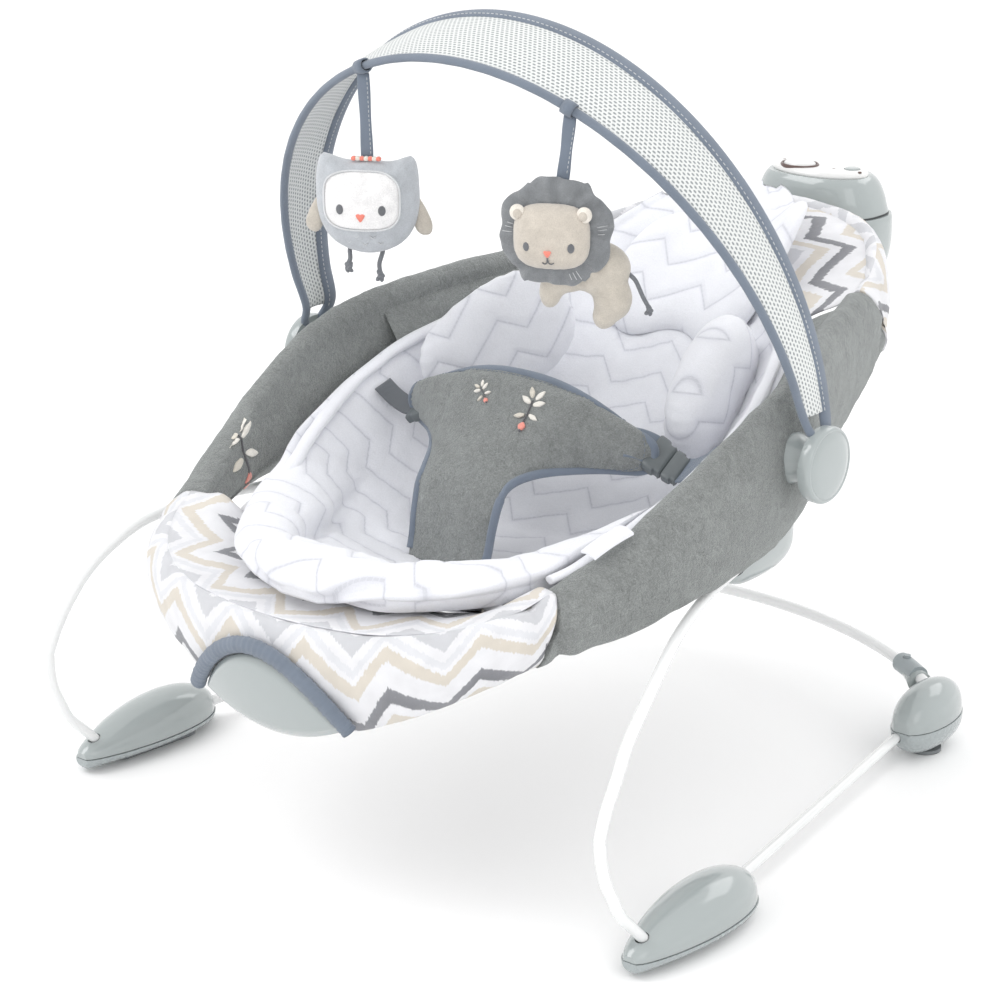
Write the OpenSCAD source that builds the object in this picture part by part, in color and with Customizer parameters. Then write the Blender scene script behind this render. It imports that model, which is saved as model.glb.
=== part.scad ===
// Bouncer seat: a padded oval bucket seat carried on two springy steel side
// wires, with a pivoting mesh toy bar, two hanging soft toys and a control
// unit at the head end. +X is the sitter's left-hand side seen from the foot,
// -Y is the foot end, +Y the head end, Z = 0 is the floor.

/* [Base frame] */
// Diameter of the bent steel side wires and the ground rods
wire_d = 8; // [7:0.5:9]
// Diameter of the curved cross tube at the back
cross_d = 9.2; // [8.8:0.2:10]
// Bend radius of the cross tube, seen from above
cross_r = 347; // [340:1:354]
// Height of the cross tube above the floor
cross_z = 50; // [49:0.5:51]
// Thickness of the rubber floor pads
pad_t = 3; // [2.5:0.5:3.5]

/* [Toy bar] */
// Half width of the arch, centre to edge bow
arch_w = 232; // [230:1:234]
// Height of the front edge bow above its springing line
arch_f = 257; // [250:1:262]
// Height of the rear edge bow above its springing line
arch_b = 264.5; // [258:1:270]
// Tilt of the front edge bow towards the foot end, degrees
tilt_f = 24.4; // [23:0.2:26]
// Tilt of the rear edge bow towards the foot end, degrees
tilt_b = 14.6; // [13:0.2:16]
// Radius of the bound edge bows
bow_r = 3.6; // [3:0.2:4]
// Radius of the round hub caps
hub_r = 29; // [27:0.5:30]

/* [Seat] */
// Thickness of the plush side bolsters
bolster_t = 28; // [22:1:30]
// Outward bulge of the plush side bolsters
bolster_b = 9; // [6:1:10]
// Thickness of the quilted insert pad
pad_h = 12; // [9:1:13]
// Diameter of the steel rim tube inside the covers
rim_d = 10; // [8:1:12]

/* [Control unit] */
// Half width of the unit
unit_w = 65; // [62:1:68]
// Wall thickness of the unit's shells
unit_wall = 2.4; // [2:0.2:3]

/* [Hidden] */
ys = 42;                       // shifts the object so that its box is centred on Y = 0
wr = wire_d/2;
cyc = 200 - cross_r;           // centre of the cross tube's bend
hub = [243, -82, 290];         // centre of the right-hand toy bar hub
function lerp(a, b, t) = a + (b - a)*t;
function unit(v) = v/norm(v);
function flat(l) = [for (a = l) each a];
function mir(P) = [for (p = P) [-p[0], p[1], p[2]]];
// smooth open curve through the points P, n steps per span
function crp(a, b, c, d, t) = 0.5*(2*b + (c - a)*t + (2*a - 5*b + 4*c - d)*t*t + (3*b - a - 3*c + d)*t*t*t);
function pt(P, i) = i < 0 ? 2*P[0] - P[1] : i >= len(P) ? 2*P[len(P)-1] - P[len(P)-2] : P[i];
function curve(P, n) = concat([for (i = [0:len(P)-2]) for (k = [0:n-1]) crp(pt(P,i-1), P[i], P[i+1], pt(P,i+2), k/n)], [P[len(P)-1]]);
function svol(p, f) = [for (t = f) p[t[0]]*cross(p[t[1]], p[t[2]])];
function sum(v, i = 0, s = 0) = i >= len(v) ? s : sum(v, i + 1, s + v[i]);
// closed solid through a list of rings with the same number of points
module skin(R, loop = false) {
  n = len(R); m = len(R[0]);
  body = flat(R);
  c0 = sum(R[0], 0, [0,0,0])/m; c1 = sum(R[n-1], 0, [0,0,0])/m;
  P = loop ? body : concat(body, [c0, c1]);
  side = [for (i = [0:n-(loop ? 1 : 2)]) for (j = [0:m-1])
    let(a = i*m+j, b = i*m+(j+1)%m, c = ((i+1)%n)*m+(j+1)%m, d = ((i+1)%n)*m+j) each [[a,b,c],[a,c,d]]];
  caps = loop ? [] : concat([for (j = [0:m-1]) [n*m, (j+1)%m, j]], [for (j = [0:m-1]) [n*m+1, (n-1)*m+j, (n-1)*m+(j+1)%m]]);
  F = concat(side, caps);
  v = sum(svol(P, F));
  polyhedron(P, v < 0 ? F : [for (f = F) [f[0], f[2], f[1]]], convexity = 10);
}
// round rod swept along a list of points; ref is a direction the path never takes
function tan(P, i) = unit(P[min(i+1, len(P)-1)] - P[max(i-1, 0)]);
function ringat(p, t, ref, r, k) = let(a = unit(cross(t, ref)), b = cross(t, a)) [for (j = [0:k-1]) p + r*(cos(360*j/k)*a + sin(360*j/k)*b)];
module sweep(P, r, ref, k = 12) skin([for (i = [0:len(P)-1]) ringat(P[i], tan(P, i), ref, r, k)]);
module bar(p, q, r, fn = 48) {
  d = q - p; L = norm(d);
  translate(p) rotate([0, acos(d[2]/L), atan2(d[1], d[0])]) cylinder(h = L, r = r, $fn = fn);
}
module at() translate([0, ys, 0]) children();
module lr(s) scale([1,1,1]) mirror([s < 0 ? 1 : 0, 0, 0]) children();
module row() at() children();

// ---------- base frame ----------
leg_low = [[258.2,-363.3,108.4],[259,-362.8,96],[260,-359,80],[261,-352,65],[262,-344,50],[262,-330,35.5],[262,-316,21],[262,-309,14]];
leg_top = [[174,-50,199],[178,-75,202],[190,-125,204.5],[206,-178,206],[226,-234,204],[241,-275,196],[249,-305,181],[253,-327,165],[256,-343,146],[257,-355.5,128],[258,-363.1,111.6]];
rod_a = [257, -214, 16.6]; rod_b = [219, 92, 21];
module leg_low_s(s) color([.95,.95,.94]) at() lr(s) sweep(curve(leg_low, 3), wr, [1,0,0]);
module leg_wire_lower_right() leg_low_s(1);
module leg_wire_lower_left() leg_low_s(-1);
module rod_s(s, g = 0) at() lr(s) bar(rod_a, rod_b, wr + g);
module ground_rod_right() color([.95,.95,.94]) rod_s(1);
module ground_rod_left() color([.95,.95,.94]) rod_s(-1);
// pod sections: y, half width, top or bottom height from the split
function halfsec(cx, y, w, z, h, n = 10) = concat([for (i = [0:n]) [cx - w*cos(180*i/n), y, z + h*pow(sin(180*i/n), 0.8)]], [[cx + w*0.5, y, z], [cx - w*0.5, y, z]]);
fpod = [[-334,5,4],[-328,9.5,9],[-314,15,15],[-295,20,22],[-270,24,27],[-245,25,28.5],[-224,23,26.5],[-208,18,21.5],[-198,11,15],[-193,5,8]];
module wire_hole() bar([262,-352,59.5], [262,-305,9.5], wr + 0.5, 32);
module fpod_up(s) color([.76,.79,.79]) at() lr(s) difference() {
  skin([for (p = fpod) halfsec(262, p[0], p[1], 12.2, p[2])]);
  skin([for (p = fpod) if (p[1] > 12) halfsec(262, p[0], p[1] - 3.5, 12, p[2] - 3.5, 6)]);
  wire_hole();
  bar(rod_a - unit(rod_b - rod_a)*2, rod_b, wr + 0.35, 32);
}
module front_pod_upper_right() fpod_up(1);
module front_pod_upper_left() fpod_up(-1);
module fpod_lo(s) color([.74,.77,.77]) at() lr(s) difference() {
  skin([for (p = fpod) halfsec(262, p[0], p[1] + 0.8, 12, -min(p[2] + 2, 12 - pad_t), 8)]);
  skin([for (p = fpod) if (p[1] > 12) halfsec(262, p[0], p[1] - 3.2, 12.3, -6, 4)]);
  wire_hole();
  bar(rod_a - unit(rod_b - rod_a)*2, rod_b, wr + 0.35, 32);
}
module front_pod_lower_right() fpod_lo(1);
module front_pod_lower_left() fpod_lo(-1);
rpod = [[74,7,8,8],[80,12.5,18,16],[91,17.5,26,21],[106,20,30,23],[122,19.8,30.5,23],[138,16.5,27,21],[149,11,20,16],[156,5,10,8]];
module cross_hole(g) translate([0, cyc, cross_z]) rotate([0,0,46]) rotate_extrude(angle = 10, $fn = 120) translate([cross_r, 0]) circle(r = cross_d/2 + g, $fn = 32);
module rpod_up(s) color([.76,.79,.79]) at() lr(s) difference() {
  skin([for (p = rpod) halfsec(226, p[0], p[1], 26.2, p[2])]);
  skin([for (p = rpod) if (p[1] > 13) halfsec(226, p[0], p[1] - 3.5, 26, p[2] - 3.5, 6)]);
  cross_hole(0.3);
}
module rear_pod_upper_right() rpod_up(1);
module rear_pod_upper_left() rpod_up(-1);
module rpod_lo(s) color([.74,.77,.77]) at() lr(s) difference() {
  skin([for (p = rpod) halfsec(226, p[0], p[1] + 0.6, 26, -min(p[3], 26 - pad_t), 8)]);
  bar(rod_a, rod_b + unit(rod_b - rod_a)*2, wr + 0.35, 32);
  translate([226, 118, 17]) cylinder(h = 12, r = 9, $fn = 32);
}
module rear_pod_lower_right() rpod_lo(1);
module rear_pod_lower_left() rpod_lo(-1);
module socket_s(s) color([.62,.66,.67]) at() lr(s) {
  difference() {
    union() {
      translate([0, cyc, cross_z]) rotate([0,0,53.6]) rotate_extrude(angle = 5.2, $fn = 120) translate([cross_r, 0]) circle(r = cross_d/2 + 3.4, $fn = 40);
    }
    translate([0, cyc, cross_z]) rotate([0,0,50]) rotate_extrude(angle = 12, $fn = 120) translate([cross_r, 0]) circle(r = cross_d/2 + 0.15, $fn = 40);
    translate([0, cyc, cross_z]) rotate([0,0,57.2]) translate([cross_r, 0, 0]) cylinder(h = 12, r = 3.3, $fn = 32);
    skin([for (p = rpod) halfsec(226, p[0], p[1] + 0.4, 26, p[2] + 0.6, 10)]);
  }
}
module tube_socket_right() socket_s(1);
module tube_socket_left() socket_s(-1);
module cross_tube() color([.95,.95,.94]) at() difference() {
  translate([0, cyc, cross_z]) rotate([0,0,51]) rotate_extrude(angle = 78, $fn = 180) translate([cross_r, 0]) circle(r = cross_d/2, $fn = 40);
  translate([0, cyc, cross_z]) rotate([0,0,50]) rotate_extrude(angle = 80, $fn = 180) translate([cross_r, 0]) circle(r = cross_d/2 - 1.2, $fn = 40);
  for (s = [57.2, 180 - 57.2]) translate([0, cyc, cross_z]) rotate([0,0,s]) translate([cross_r, 0, 0]) cylinder(h = 12, r = 2.9, $fn = 32);
}
module snap_s(s) color([.45,.48,.5]) at() lr(s) translate([0, cyc, cross_z]) rotate([0,0,57.2]) translate([cross_r, 0, 0.6]) cylinder(h = 9.2, r = 2.7, $fn = 32);
module snap_button_right() snap_s(1);
module snap_button_left() snap_s(-1);
module floor_pads() color([.35,.36,.37]) at() for (s = [1,-1]) lr(s) {
  translate([262, 0, 0]) hull() { translate([0,-292,0]) cylinder(h = pad_t, r = 9, $fn = 24); translate([0,-232,0]) cylinder(h = pad_t, r = 16, $fn = 24); }
  translate([226, 112, 0]) cylinder(h = pad_t, r = 13, $fn = 40);
}
module pod_screws() color([.6,.6,.6]) at() for (s = [1,-1]) lr(s) {
  for (y = [-285, -235]) translate([262, y, 7]) cylinder(h = 5, r = 2.5, $fn = 20);
  translate([226, 118, 19]) cylinder(h = 6, r = 3.5, $fn = 20);
}

// ---------- seat ----------
// crest and bottom line of the covers, right half, from the foot seam back
crest_r = [[172,-296,241],[187,-252,260],[201,-200,288],[209,-140,317],[208,-80,335],[196,-28,345],[177,25,351],[162,76,355],[151,114,359]];
base_r = [[180,-326,199],[197,-268,203],[211,-203,211],[216,-135,219],[211,-76,228],[196,-18,240],[172,40,251],[150,108,265],[127,190,290]];
crest_f = [[171.5,-298,240.5],[160,-328,231],[132,-362,223],[92,-386,218],[48,-397,216],[0,-400,215]];
base_f = [[179,-328,199],[165,-344,190],[134,-362,171],[92,-376,150],[46,-383,134],[0,-385,128]];
crest_h = [[150.5,116,359.5],[134,156,364],[110,192,369],[78,217,375],[40,232,380],[0,237,382]];
base_h = [[125.5,192,291],[108,208,300],[82,224,308],[52,234,314],[26,239,317],[0,240,318]];
function sec(c, b, n, bg, th, zo = 0) = let(o = [0, 0.1, 0.28, 0.48, 0.68, 0.86, 1], i = [0.94, 0.72, 0.48, 0.24, 0.06])
  concat([for (t = o) lerp(c, b, t) + n*(bg*sin(180*pow(t, 0.8)) + (t == 0 ? -4 : 0) + (t == 1 ? -6 : 0)) + [0,0,zo]],
         [for (t = i) lerp(c, b, t) + n*(bg*sin(180*t) - th*(t < 0.1 ? 0.6 : t < 0.3 ? 0.85 : t > 0.9 ? 1.15 : 1.25)) + [0,0, zo + (t > 0.9 ? 16 : t > 0.6 ? 6 : 0)]]);
function outdir(P, i) = let(t = tan(P, i)) unit([t[1], -t[0], 0]);
cr_r = curve(crest_r, 2); br_r = curve(base_r, 2);
cr_f = curve(crest_f, 2); br_f = curve(base_f, 2);
cr_h = curve(crest_h, 2); br_h = curve(base_h, 2);
module bolster_s(s) color([.56,.57,.57]) at() lr(s) skin([for (i = [0:len(cr_r)-1]) sec(cr_r[i], br_r[i], outdir(cr_r, i), bolster_b, bolster_t)]);
module bolster_right() bolster_s(1);
module bolster_left() bolster_s(-1);
function both(P) = concat(P, [for (i = [len(P)-2:-1:0]) [-P[i][0], P[i][1], P[i][2]]]);
fc = both(cr_f); fb = both(br_f);
hc = both(cr_h); hb = both(br_h);
// foot end section: the top runs inwards under the pad's front lip
function secf(c, b, n) = let(o = [0, 0.1, 0.28, 0.48, 0.68, 0.86, 1], i = [[0.96,26,10],[0.78,34,2],[0.55,46,-5],[0.32,56,-11],[0.19,56,-13],[0.1,36,-14]])
  concat([for (t = o) lerp(c, b, t) + n*(8.6*sin(180*pow(t, 0.8)) + (t == 0 ? -5 : 0) + (t == 1 ? -6 : 0))],
         [for (q = i) lerp(c, b, q[0]) - n*q[1] + [0, 0, q[2]]]);
module foot_panel() color([.85,.84,.84]) at() skin([for (i = [0:len(fc)-1]) secf(fc[i], fb[i], -outdir(fc, i))]);
module head_panel() color([.85,.84,.84]) at() skin([for (i = [0:len(hc)-1]) sec(hc[i], hb[i], outdir(hc, i), 8, 20)]);
// steel rim tube just under the crest of the covers
rim_pts = concat([[0,-387,202]], [for (p = [crest_f[4], crest_f[3], crest_f[2], crest_f[1]]) p + [-5,10,-13]],
  [for (p = crest_r) p - [8,0,14]], [for (p = [crest_h[1], crest_h[2], crest_h[3], crest_h[4]]) p + [-6,-7,-13]], [[0,228,369]]);
function closed(P) = concat(P, [for (i = [len(P)-2:-1:1]) [-P[i][0], P[i][1], P[i][2]]]);
rim_loop = let(c = closed(rim_pts)) [for (i = [0:len(c)-1]) each [c[i], crp(c[(i+len(c)-1)%len(c)], c[i], c[(i+1)%len(c)], c[(i+2)%len(c)], 0.5)]];
function ctan(P, i) = let(n = len(P)) unit(P[(i+1)%n] - P[(i+n-1)%n]);
module rim_tube() color([.7,.7,.7]) at() skin([for (i = [0:len(rim_loop)-1]) ringat(rim_loop[i], ctan(rim_loop, i), [0,0,1], rim_d/2, 10)], true);
// bucket: y, centre height of the pad top, half width, height of its sides
function padx(y) = 12*min(1, max(0, (-120 - y)/120));   // the foot end lies a little to the right
buck = [[-368,236,44,1],[-352,240,74,1],[-332,239,98,2],[-308,230,117,12],[-278,212,134,34],[-240,196,141,58],[-200,188,151,76],[-150,184,161,90],[-100,190,166,96],[-60,206,162,94],[-15,236,150,78],[40,275,132,56],[90,314,112,36],[135,347,94,22],[175,377,72,12],[203,398,44,4]];
// U shaped section; t offsets it down and outwards
function usec(b, t, n = 12) = [for (i = [0:n]) let(a = -1 + 2*i/n) [padx(b[0]) + (b[2] + t*0.8)*sign(a)*pow(abs(a), 0.85), b[0], b[1] - t + b[3]*pow(abs(a), 2.6)]];
function ush(b, t0, t1, n = 12) = concat(usec(b, t0, n), [for (i = [n:-1:0]) usec(b, t1, n)[i]]);
module insert_pad() color([.93,.93,.94]) at() skin([for (b = buck) ush(b, 0, pad_h - 0.2)]);
module seat_sling() color([.82,.81,.82]) at() skin([for (b = buck) if (b[0] > -300 && b[0] < 150) ush(b, pad_h + 2.4, pad_h + 5.2)]);
module wing_s(s) color([.94,.94,.95]) at() lr(s) skin([for (p = [[-72,272,106,8,5],[-62,286,108,24,9],[-35,298,109,34,11],[0,310,106,36,12],[30,324,100,30,11],[56,338,94,22,9],[68,346,91,8,5]])
  [for (j = [0:9]) let(a = 36*j) [p[2] + p[4]*cos(a) - 9*sin(a), p[0], p[1] + 12 + p[3]*0.72*sin(a) + 0.25*p[4]*cos(a)]]]);
module support_wing_right() wing_s(1);
module support_wing_left() wing_s(-1);
module head_support() color([.95,.95,.96]) at() skin([for (p = [[84,44,3],[96,64,7],[116,72,10],[136,70,11],[156,62,10],[172,48,7],[182,30,3]])
  let(z = lerp(309, 383, (p[0] - 84)/98)) [for (j = [0:11]) let(a = 30*j) [p[1]*cos(a), p[0] - 3, z + 14 + p[2]*sin(a) + 12*pow(abs(cos(a)), 3)]]]);
// harness: stem rising from the seat, then a wide waist panel
hz = [[-190,204,28],[-186,222,29],[-176,248,31],[-162,272,40],[-148,292,68],[-134,308,92],[-120,320,99],[-108,328,95]];
function hsec(h, t) = [for (i = [0:8]) let(a = -1 + i/4) [h[2]*a, h[0] + t*0.55 - 10*a*a, h[1] - t*0.85 - 26*pow(h[2]/99, 2)*a*a]];
module harness_panel() color([.55,.56,.56]) at() skin([for (h = hz) concat(hsec(h, 0), [for (i = [8:-1:0]) hsec(h, 9)[i]])]);
module strap_s(s, p) color([.5,.54,.58]) at() lr(s) skin([for (q = p) [[q[0], q[1]-12, q[2]-8],[q[0], q[1]+12, q[2]+8],[q[0]+1.2, q[1]+12.8, q[2]+6.6],[q[0]+1.2, q[1]-11.2, q[2]-9.4]]]);
module harness_strap_right() strap_s(1, [[129.6,-92,264],[134,-92,266],[138,-93,268],[142,-94,271]]);
module harness_strap_left() strap_s(-1, [[119.6,-98,266],[127,-98,266],[134,-98,268],[142,-98,272]]);
module buckle_box(x0, x1, y, z0, z1, w, t) skin([for (k = [0,0.15,0.85,1]) let(x = lerp(x0,x1,k), z = lerp(z0,z1,k), g = (k == 0 || k == 1) ? 1.5 : 0)
  [[x,y-w+g,z-t+g-5],[x,y+w-g,z-t+g+7],[x,y+w-g,z+t-g+7],[x,y-w+g,z+t-g-5]]]);
module buckle_socket_right() color([.49,.51,.5]) at() buckle_box(100.5, 116, -92, 273, 266, 15, 4.5);
module buckle_plug_right() color([.46,.48,.48]) at() buckle_box(116.8, 129, -92, 266, 262, 13, 3.6);
module buckle_left() color([.46,.48,.48]) at() mirror([1,0,0]) buckle_box(100.5, 119, -98, 273, 264, 14, 4);
module rim_tag() color([.97,.97,.97]) at() skin([for (k = [0:4]) let(u = k/4, x = lerp(172, 182, u), y = lerp(-270, -240, u), z = lerp(262.5, 274.5, u))
  [[x,y,z],[x+10,y+1,z-3.2],[x+10.4,y+1,z-1.9],[x+0.3,y,z+1.4]]]);
// lens shaped cover plate on the front of the foot panel
function plate_y(x, z) = -393 - (z - 128)*0.2 - 7*sin(180*min(1, max(0, (z - 120)/100))) + x*x*0.0021;
function plate_lo(x) = 128 + 17*pow(x/64, 2);
function plate_hi(x) = 188 - 43*pow(x/64, 2);
module front_plate() color([.76,.78,.79]) at() skin([for (k = [-8:8]) let(x = 63*sin(k*90/8), a = plate_lo(x), b = plate_hi(x), c = (a+b)/2)
  [[x, plate_y(x,a), a],[x, plate_y(x,c) - 1.5, c],[x, plate_y(x,b), b],[x, plate_y(x,b) + 4, b],[x, plate_y(x,c) + 3, c],[x, plate_y(x,a) + 4, a]]]);
trim_pts = [for (k = [-8:8]) let(x = 71*sin(k*90/8)) [x, plate_y(x*0.95, 189 - 40*pow(x/71,2)) + 0.5, 196 - 50*pow(x/71, 2)]];
module front_trim() color([.45,.49,.52]) at() sweep(trim_pts, 5.6, [0,1,0], 10);
// side housings, under the bolsters
module housing_s(s) color([.76,.79,.79]) at() lr(s) difference() {
  skin([for (p = [[-108,176,8,9],[-102,175,12,17],[-88,174,13.5,22],[-62,172,14,24],[-36,170,13.5,23],[-20,168,12,18],[-13,167,8,9]])
    [for (j = [0:13]) let(a = 360*j/14) [p[1] + p[2]*sign(cos(a))*pow(abs(cos(a)), 0.7), p[0], 209 + p[3]*sign(sin(a))*pow(abs(sin(a)), 0.7)]]]);
  sweep(concat([[173.6,-46,198.5]], [for (i = [0:8]) curve(leg_top, 3)[i]]), wr + 0.4, [1,0,0]);
}
module side_housing_right() housing_s(1);
module side_housing_left() housing_s(-1);
module leg_top_s(s) color([.95,.95,.94]) at() lr(s) sweep(curve(leg_top, 3), wr, [1,0,0]);
module leg_wire_upper_right() leg_top_s(1);
module leg_wire_upper_left() leg_top_s(-1);
// toy bar mount: plate outside the bolster with a pivot pin
module mount_s(s) color([.7,.73,.74]) at() lr(s) translate(hub) rotate([0,90,0]) {
  translate([0,0,-22.5]) cylinder(h = 15.5, r = 20, $fn = 64);
  translate([0,0,-7.2]) cylinder(h = 10, r = 5, $fn = 48);
}
module toy_bar_mount_right() mount_s(1);
module toy_bar_mount_left() mount_s(-1);

// ---------- control unit at the head end ----------
function uring(w, y0, y1, z, e = 0.75, n = 24) = [for (j = [0:n-1]) let(a = 360*j/n) [w*sign(cos(a))*pow(abs(cos(a)), e), (y0+y1)/2 + (y1-y0)/2*sign(sin(a))*pow(abs(sin(a)), e), z]];
uw = unit_w;
module unit_lower_shell() color([.76,.79,.79]) at() difference() {
  skin([uring(uw-12,262,318,322), uring(uw-3,257,326,327), uring(uw+1,254,331,345), uring(uw+1,253,332,366), uring(uw,253,331,371.8)]);
  skin([uring(uw-3-unit_wall,258,327.5,325.5), uring(uw-unit_wall,256,328.5,350), uring(uw-unit_wall,256,328.5,373)]);
  translate([-46.3, 267.7, 318]) cube([92.6, 44.6, 12]);
}
module unit_upper_shell() color([.78,.81,.81]) at() difference() {
  skin([uring(uw,253,330,372.1), uring(uw-1,253,329,384), uring(uw-5,254,326,395), uring(uw-11,256,320,402), uring(uw-14,258,317,404)]);
  skin([uring(uw-unit_wall,256,327,372), uring(uw-3-unit_wall,256,326,384), uring(uw-8-unit_wall,258,322,394), uring(uw-17,261,314,401)]);
  translate([-15, 279, 380]) scale([14.6/12.2, 1, 1]) cylinder(h = 40, r = 12.2, $fn = 40);
  translate([30, 289, 380]) cylinder(h = 40, r = 6.9, $fn = 40);
}
module control_panel() color([.97,.97,.97]) at() difference() {
  skin([uring(51,261.5,313.5,404.3,1), uring(51,261.5,313.5,407,1), uring(47,264,311,408.6,1)]);
  translate([-15, 279, 380]) scale([14.6/12.2, 1, 1]) cylinder(h = 40, r = 12.2, $fn = 40);
  translate([30, 289, 380]) cylinder(h = 40, r = 6.9, $fn = 40);
}
module vibration_motor() color([.6,.6,.62]) at() { bar([-52,292,388], [-40,292,388], 7, 32); bar([-39.8,292,388], [-34,292,388], 5, 32); }
module battery_cells() color([.3,.4,.35]) at() for (x = [-30,0,30]) translate([x, 290, 326.5]) { cylinder(h = 48, r = 12.9, $fn = 40); translate([0,0,48]) cylinder(h = 2, r = 3, $fn = 24); }
module unit_bracket() color([.6,.63,.64]) at() { translate([-34, 246.6, 338]) cube([68, 6.2, 24]); for (x = [-22,22]) translate([x, 252.8, 350]) rotate([-90,0,0]) cylinder(h = 1, r = 4, $fn = 32); }
module battery_door() color([.72,.75,.75]) at() translate([-46, 268, 322]) cube([92, 44, 3]);
module main_button() color([.93,.93,.93]) at() translate([-15, 279, 396]) scale([14/11.6, 1, 1]) cylinder(h = 15, r = 11.6, $fn = 40);
module mode_button() color([.93,.93,.93]) at() translate([30, 289, 397]) cylinder(h = 12.8, r = 6.5, $fn = 40);

// ---------- toy bar ----------
module hub_s(s) color([.76,.79,.79]) at() lr(s) translate(hub) rotate([0,90,0]) difference() {
  union() {
    translate([0,0,-6]) rotate_extrude($fn = 96) polygon([[0,0],[hub_r-2,0],[hub_r,2],[hub_r,8],[hub_r-2,10.5],[hub_r-8,12.6],[hub_r-16,13.6],[0,14]]);
    translate([-34,-15,-6]) cube([14, 23, 7]);
  }
  translate([0,0,-7]) cylinder(h = 11.2, r = 5.05, $fn = 48);
}
module toy_bar_hub_right() hub_s(1);
module toy_bar_hub_left() hub_s(-1);
function bowpt(a, h, y, t) = [arch_w*sin(a), y - h*cos(a)*sin(t), 330 + h*cos(a)*cos(t)];
function bow(h, y, t, e, n) = concat([[-240.5,e[0],e[1]],[-237,(e[0]*0.45+y*0.55),316]], [for (i = [-n:n]) bowpt(90*i/n, h, y, t)], [[237,(e[0]*0.45+y*0.55),316],[240.5,e[0],e[1]]]);
fb_pts = bow(arch_f, -98, tilt_f, [-90,311], 14);
rb_pts = bow(arch_b, -67, tilt_b, [-79,311], 14);
module front_bow() color([.48,.52,.57]) at() sweep(fb_pts, bow_r, [0,1,0], 8);
module rear_bow() color([.48,.52,.57]) at() sweep(rb_pts, bow_r, [0,1,0], 8);
function bandsec(p, q, c) = let(d = unit(q - p), o = unit(cross(d, c)), a = p + d*(bow_r + 0.8), b = q - d*(bow_r + 0.8), m = (a+b)/2 + o*1.5)
  [a - o, m - o, b - o, b + o, m + o, a + o];
module mesh_band() color([.88,.89,.89]) at() skin([for (i = [2:len(fb_pts)-3]) bandsec(fb_pts[i], rb_pts[i], tan(fb_pts, i))]);

// ---------- hanging toys ----------
module ellip(c, r, fn = 18) translate(c) scale(r) sphere(r = 1, $fn = fn);
owl_p = [-79, -197.8, 544.4]; lion_p = [107, -192.2, 530.1];
module owl_toy() color([.7,.71,.73]) at() translate(owl_p) rotate([0,0,30]) {
  translate([-4,-1,-57]) cube([8, 2, 57]);
  translate([0,0,-92]) scale([1,0.55,1]) rotate_extrude($fn = 28) polygon([[0,-34],[14,-32],[26,-24],[32,-8],[33,8],[31,22],[24,31],[12,35.9],[0,35.9]]);
  for (s = [-1,1]) { ellip([s*36,3,-94], [6,7,16], 14); ellip([s*10 + 2,0,-131], [3,3,10], 12); ellip([s*24,0,-61], [6,5,9], 12); }
}
module lion_toy() color([.76,.74,.7]) at() translate(lion_p) rotate([0,0,22]) {
  translate([-4,-1,-44]) cube([8, 2, 44]);
  translate([-2,-8,-80]) rotate([90,0,0]) translate([0,0,-10]) { cylinder(h = 9, r1 = 34, r2 = 36, $fn = 32); translate([0,0,9]) cylinder(h = 17, r1 = 26, r2 = 18, $fn = 28); }
  ellip([16,13,-112], [28,13,27], 18); ellip([0,12,-134], [8,8,17], 12); ellip([34,12,-134], [10,9,18], 12);
}

leg_wire_lower_right();
leg_wire_lower_left();
ground_rod_right();
ground_rod_left();
front_pod_upper_right();
front_pod_upper_left();
front_pod_lower_right();
front_pod_lower_left();
rear_pod_upper_right();
rear_pod_upper_left();
rear_pod_lower_right();
rear_pod_lower_left();
tube_socket_right();
tube_socket_left();
cross_tube();
floor_pads();
pod_screws();
snap_button_right();
snap_button_left();
leg_wire_upper_right();
leg_wire_upper_left();
rim_tube();
side_housing_right();
side_housing_left();
toy_bar_mount_right();
toy_bar_mount_left();
bolster_right();
bolster_left();
foot_panel();
head_panel();
seat_sling();
insert_pad();
support_wing_right();
support_wing_left();
head_support();
harness_panel();
harness_strap_right();
harness_strap_left();
buckle_socket_right();
buckle_plug_right();
buckle_left();
rim_tag();
front_plate();
front_trim();
unit_lower_shell();
unit_upper_shell();
control_panel();
vibration_motor();
battery_cells();
unit_bracket();
battery_door();
main_button();
mode_button();
toy_bar_hub_right();
toy_bar_hub_left();
front_bow();
rear_bow();
mesh_band();
owl_toy();
lion_toy();
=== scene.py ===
import math
import bpy, bmesh
import numpy as np
from mathutils import Vector, Matrix, noise as mnoise


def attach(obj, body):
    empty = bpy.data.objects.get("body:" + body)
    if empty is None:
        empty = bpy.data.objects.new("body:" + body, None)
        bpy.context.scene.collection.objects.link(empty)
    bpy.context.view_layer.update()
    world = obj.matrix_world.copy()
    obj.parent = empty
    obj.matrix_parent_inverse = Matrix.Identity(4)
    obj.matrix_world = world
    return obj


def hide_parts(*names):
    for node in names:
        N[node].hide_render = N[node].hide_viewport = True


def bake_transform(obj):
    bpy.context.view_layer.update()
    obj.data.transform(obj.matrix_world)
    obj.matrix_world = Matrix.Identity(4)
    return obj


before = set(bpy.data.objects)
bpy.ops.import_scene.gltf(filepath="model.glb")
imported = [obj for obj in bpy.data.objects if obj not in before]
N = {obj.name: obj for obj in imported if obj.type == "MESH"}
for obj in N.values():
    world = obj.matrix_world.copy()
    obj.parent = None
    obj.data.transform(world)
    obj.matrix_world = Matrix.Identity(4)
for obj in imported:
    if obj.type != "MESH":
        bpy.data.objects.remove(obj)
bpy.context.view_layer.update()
YS = 42.0
SCN = bpy.context.scene

# ---------------------------------------------------------------- helpers
def A(p):
    return np.asarray(p, float)

def unit(v):
    v = A(v); return v / max(1e-9, np.linalg.norm(v))

def lerp(a, b, t):
    return A(a) + (A(b) - A(a)) * t

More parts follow.
